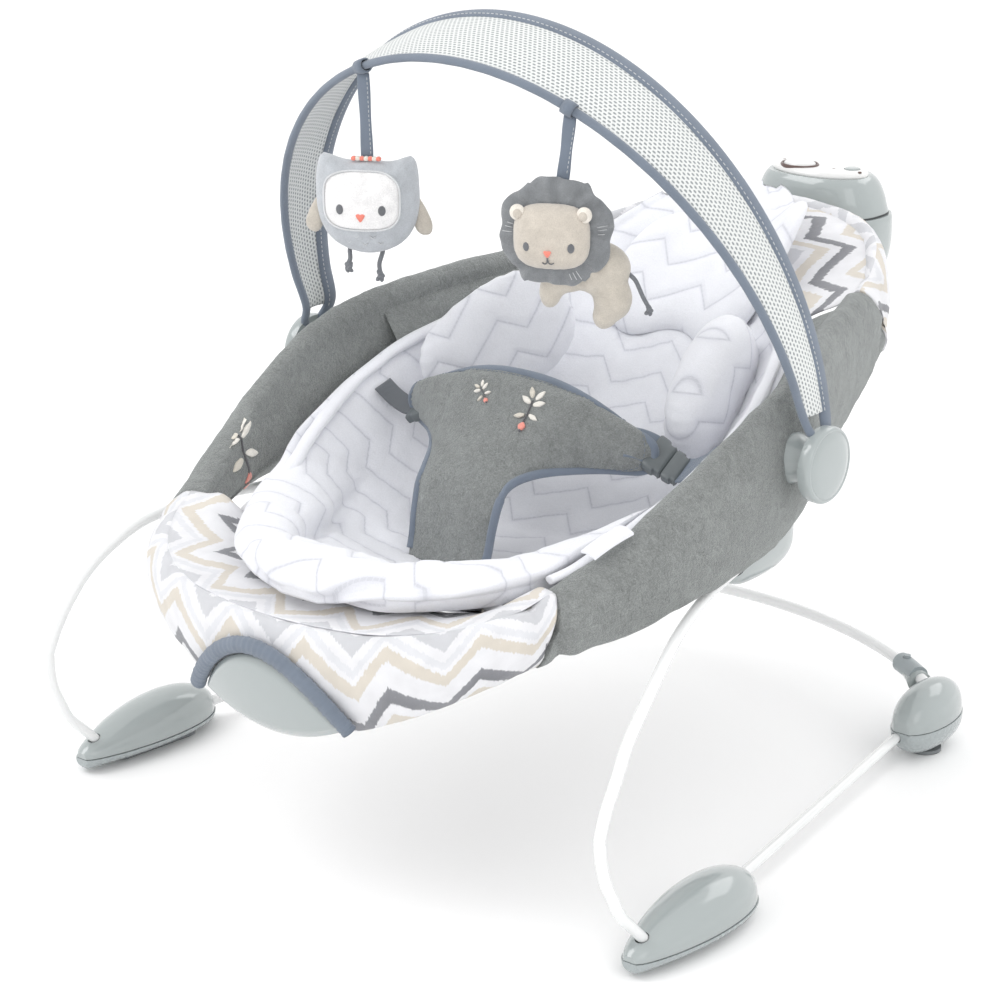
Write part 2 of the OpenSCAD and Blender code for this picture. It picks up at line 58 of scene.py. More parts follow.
def curve(P, n, closed=False):
    "Catmull-Rom through P, n steps a span"
    P = A(P); m = len(P); out = []
    def pt(i):
        if closed: return P[i % m]
        if i < 0: return 2 * P[0] - P[1]
        if i >= m: return 2 * P[-1] - P[-2]
        return P[i]
    for i in range(m if closed else m - 1):
        a, b, c, d = pt(i - 1), pt(i), pt(i + 1), pt(i + 2)
        for k in range(n):
            t = k / n
            out.append(0.5 * (2 * b + (c - a) * t + (2 * a - 5 * b + 4 * c - d) * t * t + (3 * b - a - 3 * c + d) * t ** 3))
    if not closed: out.append(P[-1])
    return A(out)

def resample(P, n, closed=False):
    P = A(P)
    if closed: P = np.vstack([P, P[:1]])
    s = np.concatenate([[0], np.cumsum(np.linalg.norm(np.diff(P, axis=0), axis=1))])
    t = np.linspace(0, s[-1], n + 1 if closed else n)
    if closed: t = t[:-1]
    return np.stack([np.interp(t, s, P[:, k]) for k in range(P.shape[1])], 1)

def mir(P, s):
    P = A(P).copy(); P[..., 0] *= s; return P

def tangents(P, closed=False):
    P = A(P)
    if closed: T = np.roll(P, -1, 0) - np.roll(P, 1, 0)
    else:
        T = np.empty_like(P); T[1:-1] = P[2:] - P[:-2]; T[0] = P[1] - P[0]; T[-1] = P[-1] - P[-2]
    return T / np.maximum(1e-9, np.linalg.norm(T, axis=1))[:, None]

def make(name, V, F, mat=None, uv=None, smooth=True, auto=None):
    "mesh object from points in millimetres in the drawing frame"
    V = (A(V) + [0, YS, 0]) * 0.001
    me = bpy.data.meshes.new(name)
    me.from_pydata(V.tolist(), [], [list(map(int, f)) for f in F])
    if uv is not None:
        lay = me.uv_layers.new(name="UVMap")
        flat = []
        for f in uv: flat.extend(f)
        lay.data.foreach_set("uv", A(flat).astype(np.float32).ravel())
    me.validate(); me.update()
    if smooth: me.polygons.foreach_set("use_smooth", [True] * len(me.polygons))
    o = bpy.data.objects.new(name, me)
    SCN.collection.objects.link(o)
    if mat: me.materials.append(mat)
    bm = bmesh.new(); bm.from_mesh(me); bmesh.ops.recalc_face_normals(bm, faces=bm.faces); bm.to_mesh(me); bm.free()
    if auto: sharp(o, auto)
    return o

def sharp(o, deg):
    "marks edges steeper than deg as sharp, for clean plastic edges"
    bm = bmesh.new(); bm.from_mesh(o.data)
    for e in bm.edges:
        if len(e.link_faces) == 2 and e.calc_face_angle(0) > math.radians(deg): e.smooth = False
    bm.to_mesh(o.data); bm.free()

def grid_faces(n, m, cu, cv):
    F = []
    for i in range(n if cu else n - 1):
        for j in range(m if cv else m - 1):
            F.append((i * m + j, i * m + (j + 1) % m, ((i + 1) % n) * m + (j + 1) % m, ((i + 1) % n) * m + j))
    return F

def loft(name, R, mat=None, loop=False, ring=True, caps=True, uvscale=1.0, auto=None, u0=0.0, v0=0.0):
    "R[i][j]: rings i of points j; uv in metres: u along, v round"
    R = A(R); n, m = R.shape[:2]
    V = R.reshape(-1, 3).tolist()
    F = grid_faces(n, m, loop, ring)
    mid = R.mean(1)
    du = np.concatenate([[0], np.cumsum(np.linalg.norm(np.diff(R, axis=0), axis=2).max(1))])
    if loop: du = np.append(du, du[-1] + np.linalg.norm(R[0] - R[-1], axis=1).max())
    dv = np.linalg.norm(np.roll(R, -1, 1) - R, axis=2).mean(0)
    dv = np.concatenate([[0], np.cumsum(dv)])
    UV = []
    for i in range(n if loop else n - 1):
        for j in range(m if ring else m - 1):
            a, b = du[i] * .001 + u0, du[i + 1] * .001 + u0; c, d = dv[j] * .001 + v0, dv[j + 1] * .001 + v0
            UV.append([(a, c), (a, d), (b, d), (b, c)])
    if ring and not loop and caps:
        for r, flip in ((0, 1), (n - 1, 0)):
            # capped with shrinking rings, so that the end is closed without a needle fan
            base = r * m; cen = R[r].mean(0); prev = list(range(base, base + m))
            for k in (0.6, 0.25):
                st = len(V)
                for j in range(m): V.append((cen + (R[r][j] - cen) * k).tolist())
                for j in range(m):
                    q = [prev[j], prev[(j + 1) % m], st + (j + 1) % m, st + j]
                    F.append(q); UV.append([(du[r] * .001, dv[j] * .001)] * 4)
                prev = list(range(st, st + m))
            c = len(V); V.append(cen.tolist())
            for j in range(m):
                F.append((prev[j], prev[(j + 1) % m], c)); UV.append([(du[r] * .001, dv[j] * .001)] * 3)
    return make(name, V, F, mat, UV, auto=auto)

def rings_along(P, ref, rad, k=14, closed=False, ell=None):
    P = A(P); T = tangents(P, closed); out = []
    for i, (p, t) in enumerate(zip(P, T)):
        rf = A(ref[i]) if np.ndim(ref) == 2 else A(ref)
        a = unit(np.cross(t, rf)); b = np.cross(t, a)
        r = rad[i] if np.ndim(rad) else rad
        ra, rb = (r, r) if ell is None else (r * ell[0], r * ell[1])
        out.append([p + ra * math.cos(2 * math.pi * j / k) * a + rb * math.sin(2 * math.pi * j / k) * b for j in range(k)])
    return A(out)

def tube(name, P, r, mat=None, ref=(1, 0, 0), k=14, closed=False, ell=None):
    return loft(name, rings_along(P, ref, r, k, closed, ell), mat, loop=closed)

def ellipsoid(name, c, r, mat=None, nu=24, nv=32, rot=None, fn=None):
    V = []; F = []
    for i in range(1, nu):
        th = math.pi * i / nu
        for j in range(nv):
            ph = 2 * math.pi * j / nv
            V.append([math.sin(th) * math.cos(ph), math.sin(th) * math.sin(ph), math.cos(th)])
    V.append([0, 0, 1]); V.append([0, 0, -1])
    n = nu - 1
    for i in range(n - 1):
        for j in range(nv): F.append((i * nv + j, i * nv + (j + 1) % nv, (i + 1) * nv + (j + 1) % nv, (i + 1) * nv + j))
    for j in range(nv): F.append((n * nv, (j + 1) % nv, j)); F.append((n * nv + 1, (n - 1) * nv + j, (n - 1) * nv + (j + 1) % nv))
    V = A(V)
    if fn is not None: V = A([fn(v) for v in V])
    V = V * A(r)
    if rot is not None: V = V @ A(rot).T
    return make(name, V + A(c), F, mat)

def rotz(d):
    c, s = math.cos(math.radians(d)), math.sin(math.radians(d)); return A([[c, -s, 0], [s, c, 0], [0, 0, 1]])
def rotx(d):
    c, s = math.cos(math.radians(d)), math.sin(math.radians(d)); return A([[1, 0, 0], [0, c, -s], [0, s, c]])
def roty(d):
    c, s = math.cos(math.radians(d)), math.sin(math.radians(d)); return A([[c, 0, s], [0, 1, 0], [-s, 0, c]])

def nz(p, s, o=0.0):
    "smooth noise of a point in millimetres, s the size of its features"
    return mnoise.noise(Vector((p[0] / s + o, p[1] / s + 1.7 * o, p[2] / s - o)))

def push(o, fn):
    "moves each vertex along its normal by fn(point in drawing mm, normal) mm"
    me = o.data; n = len(me.vertices)
    co = np.zeros(n * 3); me.vertices.foreach_get("co", co); co = co.reshape(-1, 3)
    no = np.array([v.normal for v in me.vertices])
    P = co * 1000 - [0, YS, 0]
    d = np.array([fn(P[i], no[i]) for i in range(n)])
    co = co + no * d[:, None] * .001
    me.vertices.foreach_set("co", co.ravel()); me.update()

def join(objs, name):
    bpy.ops.object.select_all(action="DESELECT")
    for o in objs: o.select_set(True)
    bpy.context.view_layer.objects.active = objs[0]
    bpy.ops.object.join()
    o = bpy.context.view_layer.objects.active
    o.name = name; o.data.name = name
    return o

def apply_mod(o, m):
    bpy.ops.object.select_all(action="DESELECT")
    o.select_set(True); bpy.context.view_layer.objects.active = o
    bpy.ops.object.modifier_apply(modifier=m.name)

def remesh(o, mm):
    m = o.modifiers.new("remesh", "REMESH"); m.mode = "VOXEL"; m.voxel_size = mm * .001; m.use_smooth_shade = True
    apply_mod(o, m)

def smooth(o, it=4, f=0.5):
    m = o.modifiers.new("smooth", "SMOOTH"); m.iterations = it; m.factor = f; apply_mod(o, m)

def subdiv(o, n=1):
    m = o.modifiers.new("sub", "SUBSURF"); m.levels = n; m.render_levels = n; apply_mod(o, m)

def inflate(o, cap, frames=20, pressure=4.0, pin=None, quality=5, shrink=0.0):
    "cloth under pressure, every point's travel capped (mm)"
    me = o.data; n = len(me.vertices)
    c0 = np.zeros(n * 3); me.vertices.foreach_get("co", c0); c0 = c0.reshape(-1, 3)
    m = o.modifiers.new("cloth", "CLOTH")
    st = m.settings; st.quality = quality; st.mass = 0.3; st.use_pressure = True; st.uniform_pressure_force = pressure
    st.tension_stiffness = 15; st.compression_stiffness = 15; st.shear_stiffness = 5; st.bending_stiffness = 0.5
    st.shrink_min = shrink
    st.effector_weights.gravity = 0
    if pin is not None:
        vg = o.vertex_groups.new(name="pin")
        for i, w in enumerate(pin):
            if w > 0: vg.add([i], float(w), "REPLACE")
        st.vertex_group_mass = "pin"
    m.point_cache.frame_start = 1; m.point_cache.frame_end = frames
    for f in range(1, frames + 1): SCN.frame_set(f)
    dg = bpy.context.evaluated_depsgraph_get(); ev = o.evaluated_get(dg); em = ev.to_mesh()
    c1 = np.zeros(n * 3); em.vertices.foreach_get("co", c1); c1 = c1.reshape(-1, 3); ev.to_mesh_clear()
    o.modifiers.remove(m)
    if pin is not None: o.vertex_groups.remove(o.vertex_groups["pin"])
    d = c1 - c0; L = np.linalg.norm(d, axis=1); k = np.minimum(1, cap * .001 / np.maximum(L, 1e-9))
    d = np.nan_to_num(d * k[:, None])
    me.vertices.foreach_set("co", (c0 + d).ravel()); me.update(); SCN.frame_set(1)

# ---------------------------------------------------------------- node materials
def lin(c):
    return tuple(((x / 12.92) if x <= 0.04045 else ((x + 0.055) / 1.055) ** 2.4) for x in [v / 255 for v in c])

class Mat:
    def __init__(s, name, rgb, rough, **kw):
        s.m = bpy.data.materials.new(name); s.m.use_nodes = True; s.nt = s.m.node_tree
        s.b = s.nt.nodes["Principled BSDF"]; s.rgb = lin(rgb)
        s.b.inputs["Base Color"].default_value = (*s.rgb, 1); s.b.inputs["Roughness"].default_value = rough
        names = dict(coat="Coat Weight", coatr="Coat Roughness", sheen="Sheen Weight", sheenr="Sheen Roughness", ior="IOR", metal="Metallic", spec="Specular IOR Level", sss="Subsurface Weight")
        for k, v in kw.items():
            if k == "tint": s.b.inputs["Sheen Tint"].default_value = (*lin(v), 1)
            else: s.b.inputs[names[k]].default_value = v
        if "sss" in kw: s.b.inputs["Subsurface Radius"].default_value = (.6, .6, .6); s.b.inputs["Subsurface Scale"].default_value = 0.003
        s.tc = s.n("ShaderNodeTexCoord"); s.h = None
    def n(s, t, **kw):
        x = s.nt.nodes.new(t)
        for k, v in kw.items(): setattr(x, k, v)
        return x
    def link(s, a, b): s.nt.links.new(a, b)
    def put(s, sock, v):
        if isinstance(v, (int, float)): sock.default_value = v
        elif isinstance(v, tuple): sock.default_value = v if len(v) == len(sock.default_value) else (*v, 1)
        else: s.link(v, sock)
    def math(s, op, a, b=None, c=None, clamp=False):
        x = s.n("ShaderNodeMath", operation=op, use_clamp=clamp)
        s.put(x.inputs[0], a)
        if b is not None: s.put(x.inputs[1], b)
        if c is not None: s.put(x.inputs[2], c)
        return x.outputs[0]
    def noise(s, scale, detail=2, rough=.5, vec=None, dist=0):
        x = s.n("ShaderNodeTexNoise"); x.inputs["Scale"].default_value = scale; x.inputs["Detail"].default_value = detail
        x.inputs["Roughness"].default_value = rough; x.inputs["Distortion"].default_value = dist
        s.link(vec or s.tc.outputs["Object"], x.inputs["Vector"]); return x.outputs["Fac"]
    def mapped(s, scale, out="Object", rot=(0, 0, 0), loc=(0, 0, 0)):
        x = s.n("ShaderNodeMapping"); x.inputs["Scale"].default_value = scale; x.inputs["Rotation"].default_value = rot; x.inputs["Location"].default_value = loc
        s.link(s.tc.outputs[out], x.inputs["Vector"]); return x.outputs[0]
    def ramp(s, f, stops, interp="LINEAR"):
        x = s.n("ShaderNodeValToRGB"); x.color_ramp.interpolation = interp; cr = x.color_ramp.elements
        cr[0].position, cr[0].color = stops[0][0], (*stops[0][1], 1)
        cr[1].position, cr[1].color = stops[-1][0], (*stops[-1][1], 1)
        for p, c in stops[1:-1]:
            e = cr.new(p); e.color = (*c, 1)
        s.put(x.inputs[0], f); return x.outputs[0]
    def mix(s, f, a, b, mode="MIX"):
        x = s.n("ShaderNodeMix", data_type="RGBA", blend_type=mode); s.put(x.inputs[0], f); s.put(x.inputs[6], a); s.put(x.inputs[7], b); return x.outputs[2]
    def bump(s, h, dist, strength=1.0):
        x = s.n("ShaderNodeBump"); x.inputs["Distance"].default_value = dist; x.inputs["Strength"].default_value = strength
        s.link(h, x.inputs["Height"])
        if s.h is not None: s.link(s.h, x.inputs["Normal"])
        s.h = x.outputs[0]; s.link(s.h, s.b.inputs["Normal"])
    def vary(s, f, lo, hi, base=None):
        "base colour times lo..hi by f"
        v = s.n("ShaderNodeMapRange"); s.put(v.inputs[0], f); v.inputs[1].default_value = .3; v.inputs[2].default_value = .7; v.inputs[3].default_value = lo; v.inputs[4].default_value = hi
        c = s.n("ShaderNodeCombineColor")
        for k in range(3): s.link(v.outputs[0], c.inputs[k])
        return s.mix(1.0, base if base is not None else s.rgb, c.outputs[0], "MULTIPLY")
    def color(s, out): s.link(out, s.b.inputs["Base Color"])
    def rough(s, f, lo, hi):
        v = s.n("ShaderNodeMapRange"); s.put(v.inputs[0], f); v.inputs[1].default_value = .3; v.inputs[2].default_value = .7; v.inputs[3].default_value = lo; v.inputs[4].default_value = hi
        s.link(v.outputs[0], s.b.inputs["Roughness"])

def plastic(name, rgb, rough, coat=0.0, grain=0.00006, var=.02, spec=.5):
    s = Mat(name, rgb, rough, coat=coat, coatr=.04, spec=spec)
    big = s.noise(14, 3); s.color(s.vary(big, 1 - var, 1 + var))
    s.rough(s.noise(220, 3), max(.02, rough - .03), rough + .05)
    s.bump(s.noise(1600, 2), grain, .5)
    return s.m

def plush(name, rgb, dark=.84, light=1.12, fuzz=.0011, scale=1.0):
    s = Mat(name, rgb, .92, sheen=.5, sheenr=.4, tint=(236, 240, 240), spec=.12)
    big = s.noise(26 * scale, 3, .55, dist=.8); pile = s.noise(150 * scale, 4, .65, dist=1.2); fine = s.noise(950 * scale, 3, .7)
    c = s.vary(big, dark + .07, light - .06); c = s.vary(pile, .84, 1.14, c); c = s.vary(fine, .72, 1.22, c); s.color(c)
    st = s.noise(1.0, 3, .6, vec=s.mapped((520, 520, 200)))
    s.bump(big, .0030, .45); s.bump(pile, .0020, .75); s.bump(st, .0009, .6); s.bump(fine, fuzz, .9)
    return s.m

def weave(name, rgb, pitch=.0011, rough=.75, uv=True, var=.06, depth=.00025, sheen=.25, stitch=None):
    "woven tape: crossed threads, by uv or by object coordinates"
    s = Mat(name, rgb, rough, sheen=sheen, sheenr=.5, spec=.25)
    k = 2 * math.pi / pitch
    sep = s.n("ShaderNodeSeparateXYZ"); s.link(s.tc.outputs["UV" if uv else "Object"], sep.inputs[0])
    a = s.math("SINE", s.math("MULTIPLY", sep.outputs[0], k)); b = s.math("SINE", s.math("MULTIPLY", sep.outputs[1], k))
    h = s.math("MULTIPLY", a, b); n1 = s.noise(900, 2)
    hh = s.math("ADD", s.math("MULTIPLY", h, .5), .5)
    c = s.vary(hh, 1 - var * 1.6, 1 + var); c = s.vary(s.noise(45, 2), 1 - var, 1 + var, c); s.color(c)
    s.bump(s.math("ADD", h, n1), depth, .7)
    return s.m

M = {}
M["white_wire"] = plastic("white_wire", (228, 229, 229), .22, coat=.5, grain=.00003, var=.012)
M["pod"] = plastic("pod_plastic", (159, 166, 166), .13, coat=.7, grain=.00002)
M["pod_low"] = plastic("pod_lower_plastic", (158, 165, 166), .26, coat=.4)
M["socket"] = plastic("socket_plastic", (150, 158, 161), .38, coat=.1)
# near-black plastic laid into the case's parting line as painted shade in the gap
M["dark_gap"] = plastic("dark_gap", (70, 72, 74), .6)
M["rubber"] = plastic("rubber", (118, 122, 124), .75, grain=.0003)
M["steel"] = Mat("steel", (190, 190, 192), .3, metal=1.0).m
M["buckle"] = plastic("buckle_plastic", (98, 104, 106), .42, coat=.15, grain=.0002, var=.04)
M["panel"] = plastic("panel_white", (222, 222, 221), .2, coat=.5)
M["brown"] = plastic("button_ring", (86, 62, 56), .35, coat=.3)
M["plush"] = plush("plush_grey", (139, 142, 141))
M["slate"] = weave("slate_binding", (122, 132, 146), uv=True)
M["slate_o"] = weave("slate_tape", (122, 132, 146), uv=False)
M["thread"] = weave("light_thread", (212, 214, 216), pitch=.0006, uv=False, depth=.0001)

# ---------------------------------------------------------------- assign to CAD nodes that stay
def paint(mat, *names):
    for n in names:
        o = N[n]; o.data.materials.clear() if not o.data.materials else None
        if o.data.materials:
            for i in range(len(o.data.materials)): o.data.materials[i] = mat
        else: o.data.materials.append(mat)

B2 = lambda n: (n + "_right", n + "_left")
paint(M["white_wire"], *B2("leg_wire_lower"), *B2("leg_wire_upper"), *B2("ground_rod"), "cross_tube")
paint(M["pod"], *B2("front_pod_upper"), *B2("rear_pod_upper"), *B2("side_housing"), *B2("toy_bar_hub"), "unit_lower_shell", "unit_upper_shell", "front_plate", "battery_door")
paint(M["pod_low"], *B2("front_pod_lower"), *B2("rear_pod_lower"))
paint(M["socket"], *B2("tube_socket"), *B2("toy_bar_mount"), "unit_bracket", *B2("snap_button"))
paint(M["rubber"], "floor_pads")
paint(M["steel"], "pod_screws", "rim_tube", "vibration_motor", "battery_cells")
paint(M["panel"], "control_panel", "main_button", "mode_button")
paint(M["buckle"], "buckle_socket_right", "buckle_plug_right", "buckle_left")

# ---------------------------------------------------------------- printed and quilted fabrics
def chevron_mat(name, period=.066, amp=.027, pitch=.104, uoff=0.0, voff=0.0, rise=.62):
    "brush-edged stepped zigzag print on white cloth; uv in metres"
    s = Mat(name, (238, 238, 240), .82, sheen=.3, sheenr=.5, spec=.2)
    sep = s.n("ShaderNodeSeparateXYZ"); s.link(s.tc.outputs["UV"], sep.inputs[0]); U, V = sep.outputs[0], sep.outputs[1]
    U = s.math("ADD", U, uoff); V = s.math("ADD", V, voff)
    comb = s.n("ShaderNodeCombineXYZ"); s.link(s.math("MULTIPLY", U, 520.0), comb.inputs[0]); s.link(s.math("MULTIPLY", V, 70.0), comb.inputs[1])
    st = s.noise(1.0, 3, .75, vec=comb.outputs[0])
    comb2 = s.n("ShaderNodeCombineXYZ"); s.link(s.math("MULTIPLY", U, 70.0), comb2.inputs[0]); s.link(s.math("MULTIPLY", V, 70.0), comb2.inputs[1])
    st2 = s.noise(1.0, 2, .5, vec=comb2.outputs[0])
    jag = s.math("MULTIPLY", s.math("SUBTRACT", st, .5), .0095)
    a = s.math("FRACT", s.math("ADD", s.math("DIVIDE", U, period), s.math("MULTIPLY", s.math("SUBTRACT", st2, .5), .05)))
    tri = s.math("MULTIPLY", s.math("MINIMUM", s.math("DIVIDE", a, rise), s.math("DIVIDE", s.math("SUBTRACT", 1.0, a), 1 - rise)), amp)
    t = s.math("ADD", s.math("ADD", V, tri), jag)
    f = s.math("FRACT", s.math("DIVIDE", t, pitch))
    W, D, G, B = lin((232, 232, 235)), lin((140, 141, 146)), lin((205, 206, 210)), lin((216, 209, 198))
    D2 = lin((128, 129, 134)); G2 = lin((222, 223, 227))
    stops = [(0, W), (.08, W), (.084, D), (.19, D2), (.194, W), (.285, W), (.289, B), (.40, B), (.404, W), (.49, W), (.494, G), (.62, G), (.624, W), (.70, W), (.704, G2), (.76, G2), (.764, W), (.80, W), (.804, B), (.90, B), (.904, W), (1, W)]
    c = s.ramp(f, stops)
    # dry-brush streaks let the ground show through
    streak = s.math("GREATER_THAN", st, .68); c = s.mix(s.math("MULTIPLY", streak, .35), c, (*W, 1))
    c = s.vary(st2, .95, 1.03, c)
    k = 2 * math.pi / .0009
    h = s.math("MULTIPLY", s.math("SINE", s.math("MULTIPLY", U, k)), s.math("SINE", s.math("MULTIPLY", V, k)))
    c = s.vary(s.math("ADD", s.math("MULTIPLY", h, .5), .5), .96, 1.02, c)
    s.color(c); s.bump(h, .00018, .6); s.bump(s.noise(30, 3), .0020, .4)
    return s.m

ZP, ZA, ZS, ZR = 56.0, 19.0, 30.0, .70      # stitch zigzag: period, height, row spacing, share of the long leg
def stitch_dist(u, v):
    a = (u / ZP) % 1.0
    z = ZA * np.minimum(a / ZR, (1 - a) / (1 - ZR))
    f = ((v - z) / ZS) % 1.0
    return np.minimum(f, 1 - f) * ZS * 0.84

def quilt_mat(name="quilted_white", lines=True, rgb=(229, 230, 235)):
    s = Mat(name, rgb, .86, sheen=.45, sheenr=.4, tint=(255, 255, 255), spec=.15)
    c = s.vary(s.noise(35, 3), .965, 1.02); fine = s.noise(1100, 3, .6); c = s.vary(fine, .95, 1.03, c)
    if lines:
        sep = s.n("ShaderNodeSeparateXYZ"); s.link(s.tc.outputs["UV"], sep.inputs[0]); U, V = sep.outputs[0], sep.outputs[1]
        a = s.math("FRACT", s.math("DIVIDE", U, ZP * .001))
        z = s.math("MULTIPLY", s.math("MINIMUM", s.math("DIVIDE", a, ZR), s.math("DIVIDE", s.math("SUBTRACT", 1.0, a), 1 - ZR)), ZA * .001)
        f = s.math("FRACT", s.math("DIVIDE", s.math("SUBTRACT", V, z), ZS * .001))
        d = s.math("MULTIPLY", s.math("MINIMUM", f, s.math("SUBTRACT", 1.0, f)), ZS * .88)   # mm
        dash = s.math("GREATER_THAN", s.math("FRACT", s.math("DIVIDE", U, .0034)), .22)
        line = s.math("MULTIPLY", s.math("LESS_THAN", d, .55), dash)
        # painted shade: the colour is multiplied darker towards each quilting line, standing in for the shade in the
        # stitched grooves; grey dashes are laid along the line itself
        shade = s.ramp(s.math("DIVIDE", d, 5.0, clamp=True), [(0, lin((236, 236, 239))), (.35, lin((252, 252, 253))), (1, lin((255, 255, 255)))])
        c = s.mix(1.0, c, shade, "MULTIPLY"); c = s.mix(s.math("MULTIPLY", line, .38), c, (*lin((192, 194, 200)), 1))
        s.bump(s.math("SUBTRACT", 0.0, line), .0004, .7)
    s.color(c)
    pile = s.noise(420, 3, .6); s.bump(pile, .0007, .55); s.bump(fine, .0004, .6)
    return s.m

M["chevron"] = chevron_mat("chevron_print", uoff=10.012, voff=10.03)
M["chevron_head"] = chevron_mat("chevron_print_head", uoff=10.0, voff=10.05)
M["quilt"] = quilt_mat()
M["white_cloth"] = quilt_mat("white_cloth", lines=False)
M["sling"] = weave("sling_cloth", (206, 206, 208), pitch=.0014, uv=False)

# ---------------------------------------------------------------- covers
crest_r = [[172,-296,241],[187,-252,260],[201,-200,288],[209,-140,317],[208,-80,335],[196,-28,345],[177,25,351],[162,76,355],[151,114,359]]
base_r = [[180,-326,199],[197,-268,203],[211,-203,211],[216,-135,219],[211,-76,228],[196,-18,240],[172,40,251],[150,108,265],[127,190,290]]
crest_f = [[171.5,-298,240.5],[160,-328,231],[132,-362,223],[92,-386,218],[48,-397,216],[0,-400,215]]
base_f = [[179,-328,199],[165,-344,190],[134,-362,171],[92,-376,150],[46,-383,134],[0,-385,128]]
crest_h = [[150.5,116,359.5],[137,158,370],[114,197,380],[82,224,387],[42,239,391],[0,244,392]]
base_h = [[127,194,289],[110,212,297],[82,224,308],[52,234,314],[26,239,317],[0,240,318]]
def both(P): return P + [[-p[0], p[1], p[2]] for p in P[-2::-1]]

def section(c, b, n, bg, th, foot=False):
    "closed cross-section of a cover from crest c round the outside to base b and back inside"
    c, b, n = A(c), A(b), A(n); out = []
    Z = lambda z: A([0, 0, z])
    if foot:
        for t in (0, .1, .28, .48, .68, .86, 1): out.append(lerp(c, b, t) + n * (9.5 * math.sin(math.pi * t ** .8) + (-5 if t == 0 else 0) + (-6 if t == 1 else 0)))
        for t, q, z in ((.96, 26, 10), (.78, 34, 2), (.55, 46, -4), (.32, 56, -8), (.2, 58, -8), (.12, 38, -6)): out.append(lerp(c, b, t) - n * q + Z(z))
    else:
        for t in (0, .1, .28, .48, .68, .86, 1): out.append(lerp(c, b, t) + n * (bg * math.sin(math.pi * t ** .8) + (-4 if t == 0 else 0) + (-6 if t == 1 else 0)))
        for t in (.94, .72, .48, .24, .06): out.append(lerp(c, b, t) + n * (bg * math.sin(math.pi * t) - th * (.6 if t < .1 else .85 if t < .3 else 1.15 if t > .9 else 1.25)) + Z(16 if t > .9 else 6 if t > .6 else 0))
    return curve(out, 4, closed=True)

def cover(name, crest, base, sgn, bg, th, mat, s=1, foot=False, per=14, wr=1.0, uvm=1.0):
    C, Bs = curve(crest, per), curve(base, per)
    T = tangents(C); R = []
    for c, b, t in zip(C, Bs, T):
        n = unit([t[1], -t[0], 0]) * sgn
        R.append(section(c, b, n, bg, th, foot))
    R = A(R)
    if s < 0: R[..., 0] *= -1
    nR = len(R)
    o = loft(name, R, mat)
    me = o.data
    # soft wrinkles running across the roll
    m = R.shape[1]
    ends = [R[0].mean(0), R[-1].mean(0)]
    def fn(p, nn):
        d = 1.5 * wr * nz(p, 46, 3.1) + .8 * wr * nz(p, 17, 8.3) + .35 * wr * nz(p, 7, 1.3)
        return d
    push(o, fn)
    return o, R

def seam_tube(name, ring, mat, r=1.7, closed=True):
    return tube(name, resample(ring, 140, closed), r, mat, ref=(.13, .31, .94), k=8, closed=closed)

SOFT = []
bol = {}
for s, nm in ((1, "right"), (-1, "left")):
    o, R = cover("plush_bolster_" + nm, crest_r, base_r, 1, 9, 28, M["plush"], s, per=16, wr=1.25)
    # pulled in at each end seam
    nr, m = R.shape[:2]
    def endpull(o, R, depth=3.2, width=16.0):
        me = o.data; e0, e1 = R[0], R[-1]; c0, c1 = e0.mean(0), e1.mean(0)
        t0, t1 = unit(R[1].mean(0) - c0), unit(R[-2].mean(0) - c1)
        def fn(p, n):
            d = min(abs(np.dot(p - c0, t0)), abs(np.dot(p - c1, t1)))
            return -depth * math.exp(-(d / (width * .35)) ** 2)
        push(o, fn)
    endpull(o, R)
    bol[nm] = R
    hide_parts("bolster_" + nm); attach(o, "seat"); SOFT.append(o)
foot, RF = cover("chevron_foot_end", both(crest_f), both(base_f), -1, 10, 30, M["chevron"], foot=True, per=16, wr=.9)
endpull(foot, RF, 2.5)
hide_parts("foot_panel"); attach(foot, "seat")
head, RH = cover("chevron_head_end", both(crest_h), both(base_h), 1, 8, 20, M["chevron_head"], per=16, wr=.9)
endpull(head, RH, 2.0)
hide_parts("head_panel"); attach(head, "seat")

# ---------------------------------------------------------------- quilted insert
buck = [[-376,229,16,0,12],[-373,234,40,0,14],[-365,238,62,1,16],[-352,238.5,82,1,17],[-332,237,101,3,17],[-308,229,118,13,16],[-278,212,135,34,14],[-240,197,142,58,13],[-200,189,152,76,12],[-150,185,162,90,12],
        [-100,191,165,98,12],[-60,207,161,96,12],[-15,236,147,80,12],[40,275,124,58,12],[90,314,98,38,12],[135,347,80,24,12],[175,377,62,14,12],[196,392,46,8,11],[207,400,30,4,9],[211,403,14,2,7]]
def padx(y):
    k = min(1, max(0, (y - 30) / 110)); return 12 * min(1, max(0, (-120 - y) / 120)) - 21 * k * k * (3 - 2 * k)
def pad_mesh(name, st, mat, n_along=9, n_across=150, puff=2.3, drop=0.0, extra=None, under=18):
    S = curve(st, n_along); R = []; UV = []
    vc = np.concatenate([[0], np.cumsum(np.hypot(np.diff(S[:, 0]), np.diff(S[:, 1])))])
    V = []; F = []; uvl = []
    na = n_across; nb = under
    rows = []
    for i, (y, zc, hw, sr, th) in enumerate(S):
        a = np.linspace(-1, 1, na); hw_ = hw * (1 - .075 * (a < 0) * min(1, max(0, (-200 - y) / 90))); top = np.stack([padx(y) + hw_ * np.sign(a) * np.abs(a) ** .85, np.full(na, y), zc - drop + sr * np.abs(a) ** 2.6], 1)
        rows.append(top)
    T = A(rows)                                  # i, j, 3
    du = np.gradient(T, axis=0); dv = np.gradient(T, axis=1)
    Nn = np.cross(dv, du); Nn /= np.maximum(1e-9, np.linalg.norm(Nn, axis=2))[..., None]
    Nn[Nn[..., 2] < -.2] *= -1
    uarc = np.cumsum(np.linalg.norm(np.diff(T, axis=1, prepend=T[:, :1]), axis=2), axis=1); uarc -= uarc[:, na // 2][:, None]
    varc = np.repeat(vc[:, None], na, 1)
    return S, T, Nn, uarc, varc

